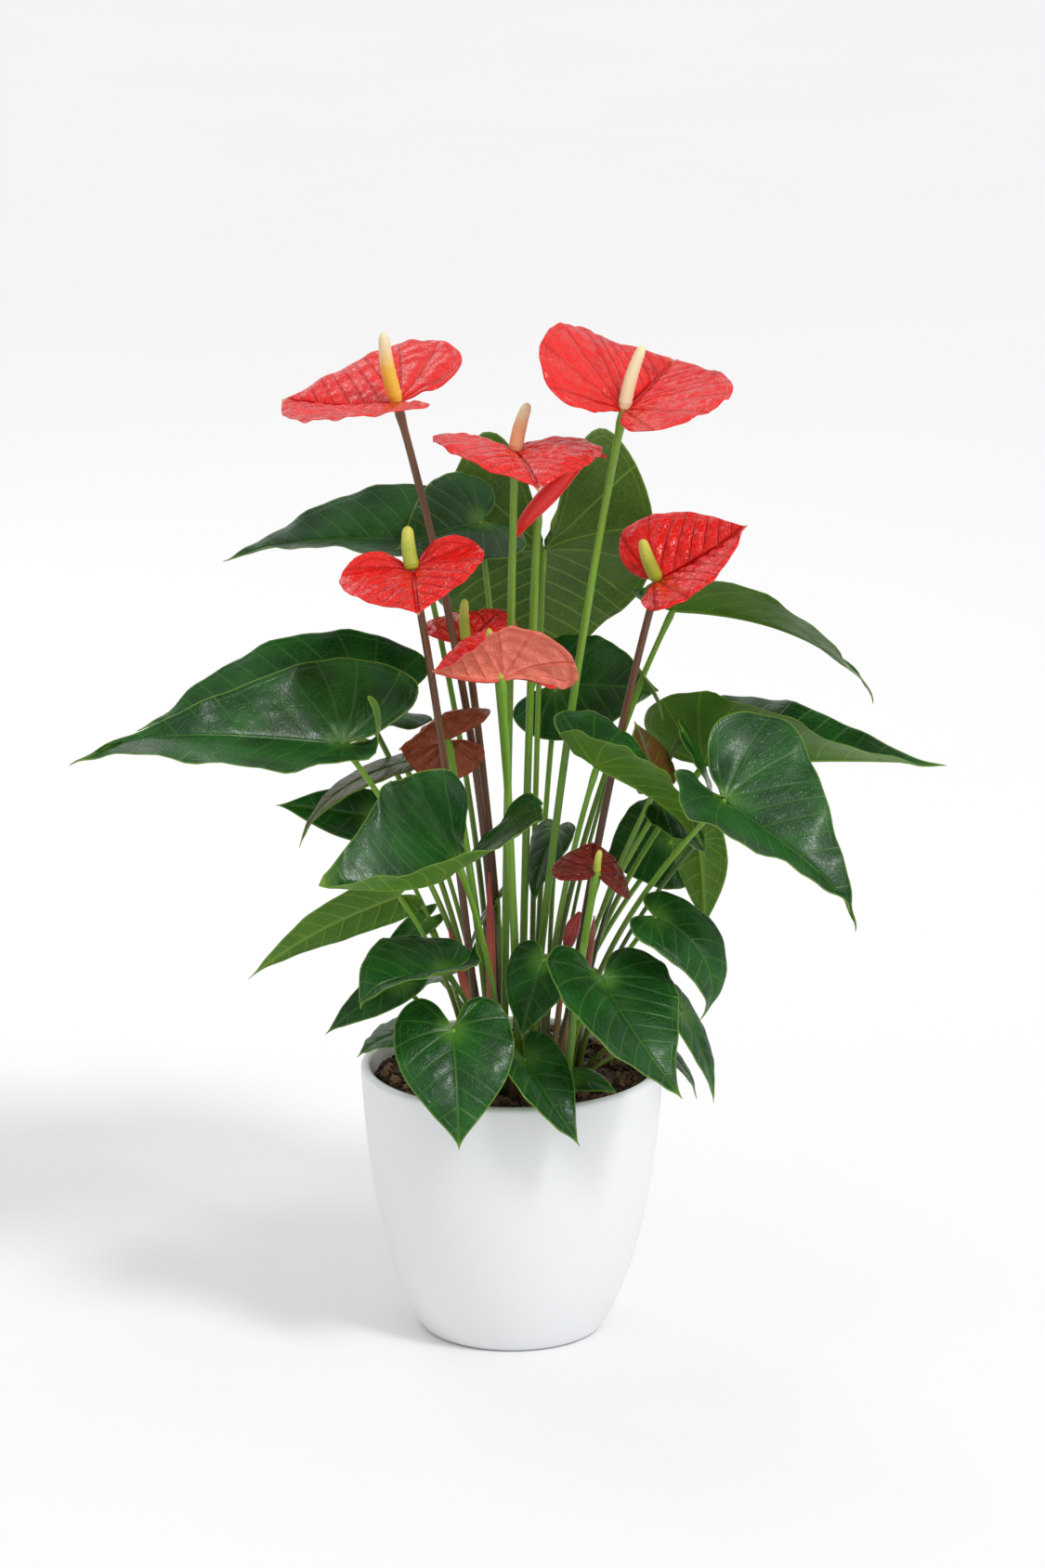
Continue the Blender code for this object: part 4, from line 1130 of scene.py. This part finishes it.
class ANTHURIUM_OT_spadices(bpy.types.Operator):
    """Set the spiral florets of each spadix"""

    bl_idname = "anthurium.spadices"
    bl_label = "Spadices"

    def execute(self, context):
        stuff = plant_materials()
        for name, base, _, _, _, top, radius, _, _ in FLOWERS:
            if top:
                slot = SPADIX_SLOTS.get(name, "spadix_green")
                made = spadix("florets_" + name, base, top, radius / 1000, sizes().bead_height)
                declared(made, stuff[slot], slot, "spadix_" + name)
        return {"FINISHED"}


class ANTHURIUM_OT_buds(bpy.types.Operator):
    """Add the furled spathe, the small bud and the papery sheaths"""

    bl_idname = "anthurium.buds"
    bl_label = "Buds and sheaths"

    def execute(self, context):
        stuff = plant_materials()
        furled = drawn_rod("furled_flower", FURLED_SPATHE, 32)
        declared(furled, stuff["furled"], "spathe_red", "spathe_furled")
        declared(drawn_rod("young_bud", BUD), stuff["bud"], "bud", "bud_small")
        for name, tone, rows in SHEATHS:
            declared(drawn_rod(name, rows), stuff[tone], "bud")
        return {"FINISHED"}


class ANTHURIUM_OT_studio(bpy.types.Operator):
    """Lay the plain floor, hang the soft lights and place the camera"""

    bl_idname = "anthurium.studio"
    bl_label = "Studio"

    def execute(self, context):
        scene = context.scene
        bpy.ops.mesh.primitive_plane_add(size=40, location=(0, 0, -0.0002))
        floor = context.object
        floor.name = floor.data.name = "studio_floor"
        bpy.ops.object.transform_apply(location=True, rotation=False, scale=False)
        floor.select_set(False)
        floor.data.materials.append(floor_material())
        world = bpy.data.worlds.new("studio")
        scene.world = world
        world.use_nodes = True
        tree = world.node_tree
        shell = tree.nodes["Background"]
        sky = put(tree, "ShaderNodeTexCoord").outputs["Generated"]
        height = put(tree, "ShaderNodeSeparateXYZ", None, Vector=sky)
        shell.inputs["Color"].default_value = (1, 1, 1, 1)
        tree.links.new(between(tree, height.outputs["Z"], -0.1, 0.8, 0.56, 0.84), shell.inputs["Strength"])
        sun = bpy.data.lights.new("soft_key", "SUN")
        sun.energy = 1.0
        sun.angle = radians(11)
        key = bpy.data.objects.new("soft_key", sun)
        key.rotation_euler = (radians(38), radians(14), radians(22))
        scene.collection.objects.link(key)
        panels = (("side_panel", (1.5, -1.3, 1.5), 1.1, 8), ("back_panel", (-0.9, 1.6, 1.6), 1.0, 5))
        for name, place, size, energy in panels:
            panel = bpy.data.lights.new(name, "AREA")
            panel.size = size
            panel.energy = energy
            lamp = bpy.data.objects.new(name, panel)
            lamp.location = place
            aim = np.array((0, 0, 0.35)) - place
            lamp.rotation_euler = Vector(aim).to_track_quat("-Z", "Y").to_euler()
            scene.collection.objects.link(lamp)
        lens = bpy.data.cameras.new("front")
        lens.sensor_fit = "VERTICAL"
        lens.sensor_height = SENSOR_HEIGHT
        lens.lens = SENSOR_HEIGHT / 2 / (HALF_VIEW / CAMERA_DISTANCE)
        camera = bpy.data.objects.new("front", lens)
        back, above = CAMERA_DISTANCE * cos(CAMERA_TILT), CAMERA_DISTANCE * sin(CAMERA_TILT)
        camera.location = (AIM_ASIDE, -back, AIM_HEIGHT + above)
        camera.rotation_euler = (pi / 2 - CAMERA_TILT, 0, 0)
        scene.collection.objects.link(camera)
        scene.camera = camera
        scene.view_settings.view_transform = "Standard"
        return {"FINISHED"}


OPERATORS = (
    ANTHURIUM_OT_pot, ANTHURIUM_OT_potting_mix, ANTHURIUM_OT_leaves, ANTHURIUM_OT_undergrowth,
    ANTHURIUM_OT_flowers, ANTHURIUM_OT_spadices, ANTHURIUM_OT_buds, ANTHURIUM_OT_studio,
)


class ANTHURIUM_PT_panel(bpy.types.Panel):
    """Sizes, colours and the steps that build the plant"""

    bl_idname = "ANTHURIUM_PT_panel"
    bl_label = "Potted Anthurium"
    bl_space_type = "VIEW_3D"
    bl_region_type = "UI"
    bl_category = "Anthurium"

    def draw(self, context):
        layout = self.layout
        for group in (context.scene.anthurium_sizes, context.scene.anthurium_colours):
            for key in group.bl_rna.properties.keys():
                if key not in ("rna_type", "name"):
                    layout.prop(group, key)
        for operator in OPERATORS:
            layout.operator(operator.bl_idname)


CLASSES = (PlantSizes, PlantColours, *OPERATORS, ANTHURIUM_PT_panel)


def register():
    for each in CLASSES:
        bpy.utils.register_class(each)
    bpy.types.Scene.anthurium_sizes = bpy.props.PointerProperty(type=PlantSizes)
    bpy.types.Scene.anthurium_colours = bpy.props.PointerProperty(type=PlantColours)


def unregister():
    del bpy.types.Scene.anthurium_colours
    del bpy.types.Scene.anthurium_sizes
    for each in reversed(CLASSES):
        bpy.utils.unregister_class(each)


def main():
    for obj in bpy.context.selected_objects:
        obj.select_set(False)
    register()
    bpy.ops.anthurium.pot()
    bpy.ops.anthurium.potting_mix()
    bpy.ops.anthurium.leaves()
    bpy.ops.anthurium.undergrowth()
    bpy.ops.anthurium.flowers()
    bpy.ops.anthurium.spadices()
    bpy.ops.anthurium.buds()
    bpy.ops.anthurium.studio()


if __name__ == "__main__":
    main()
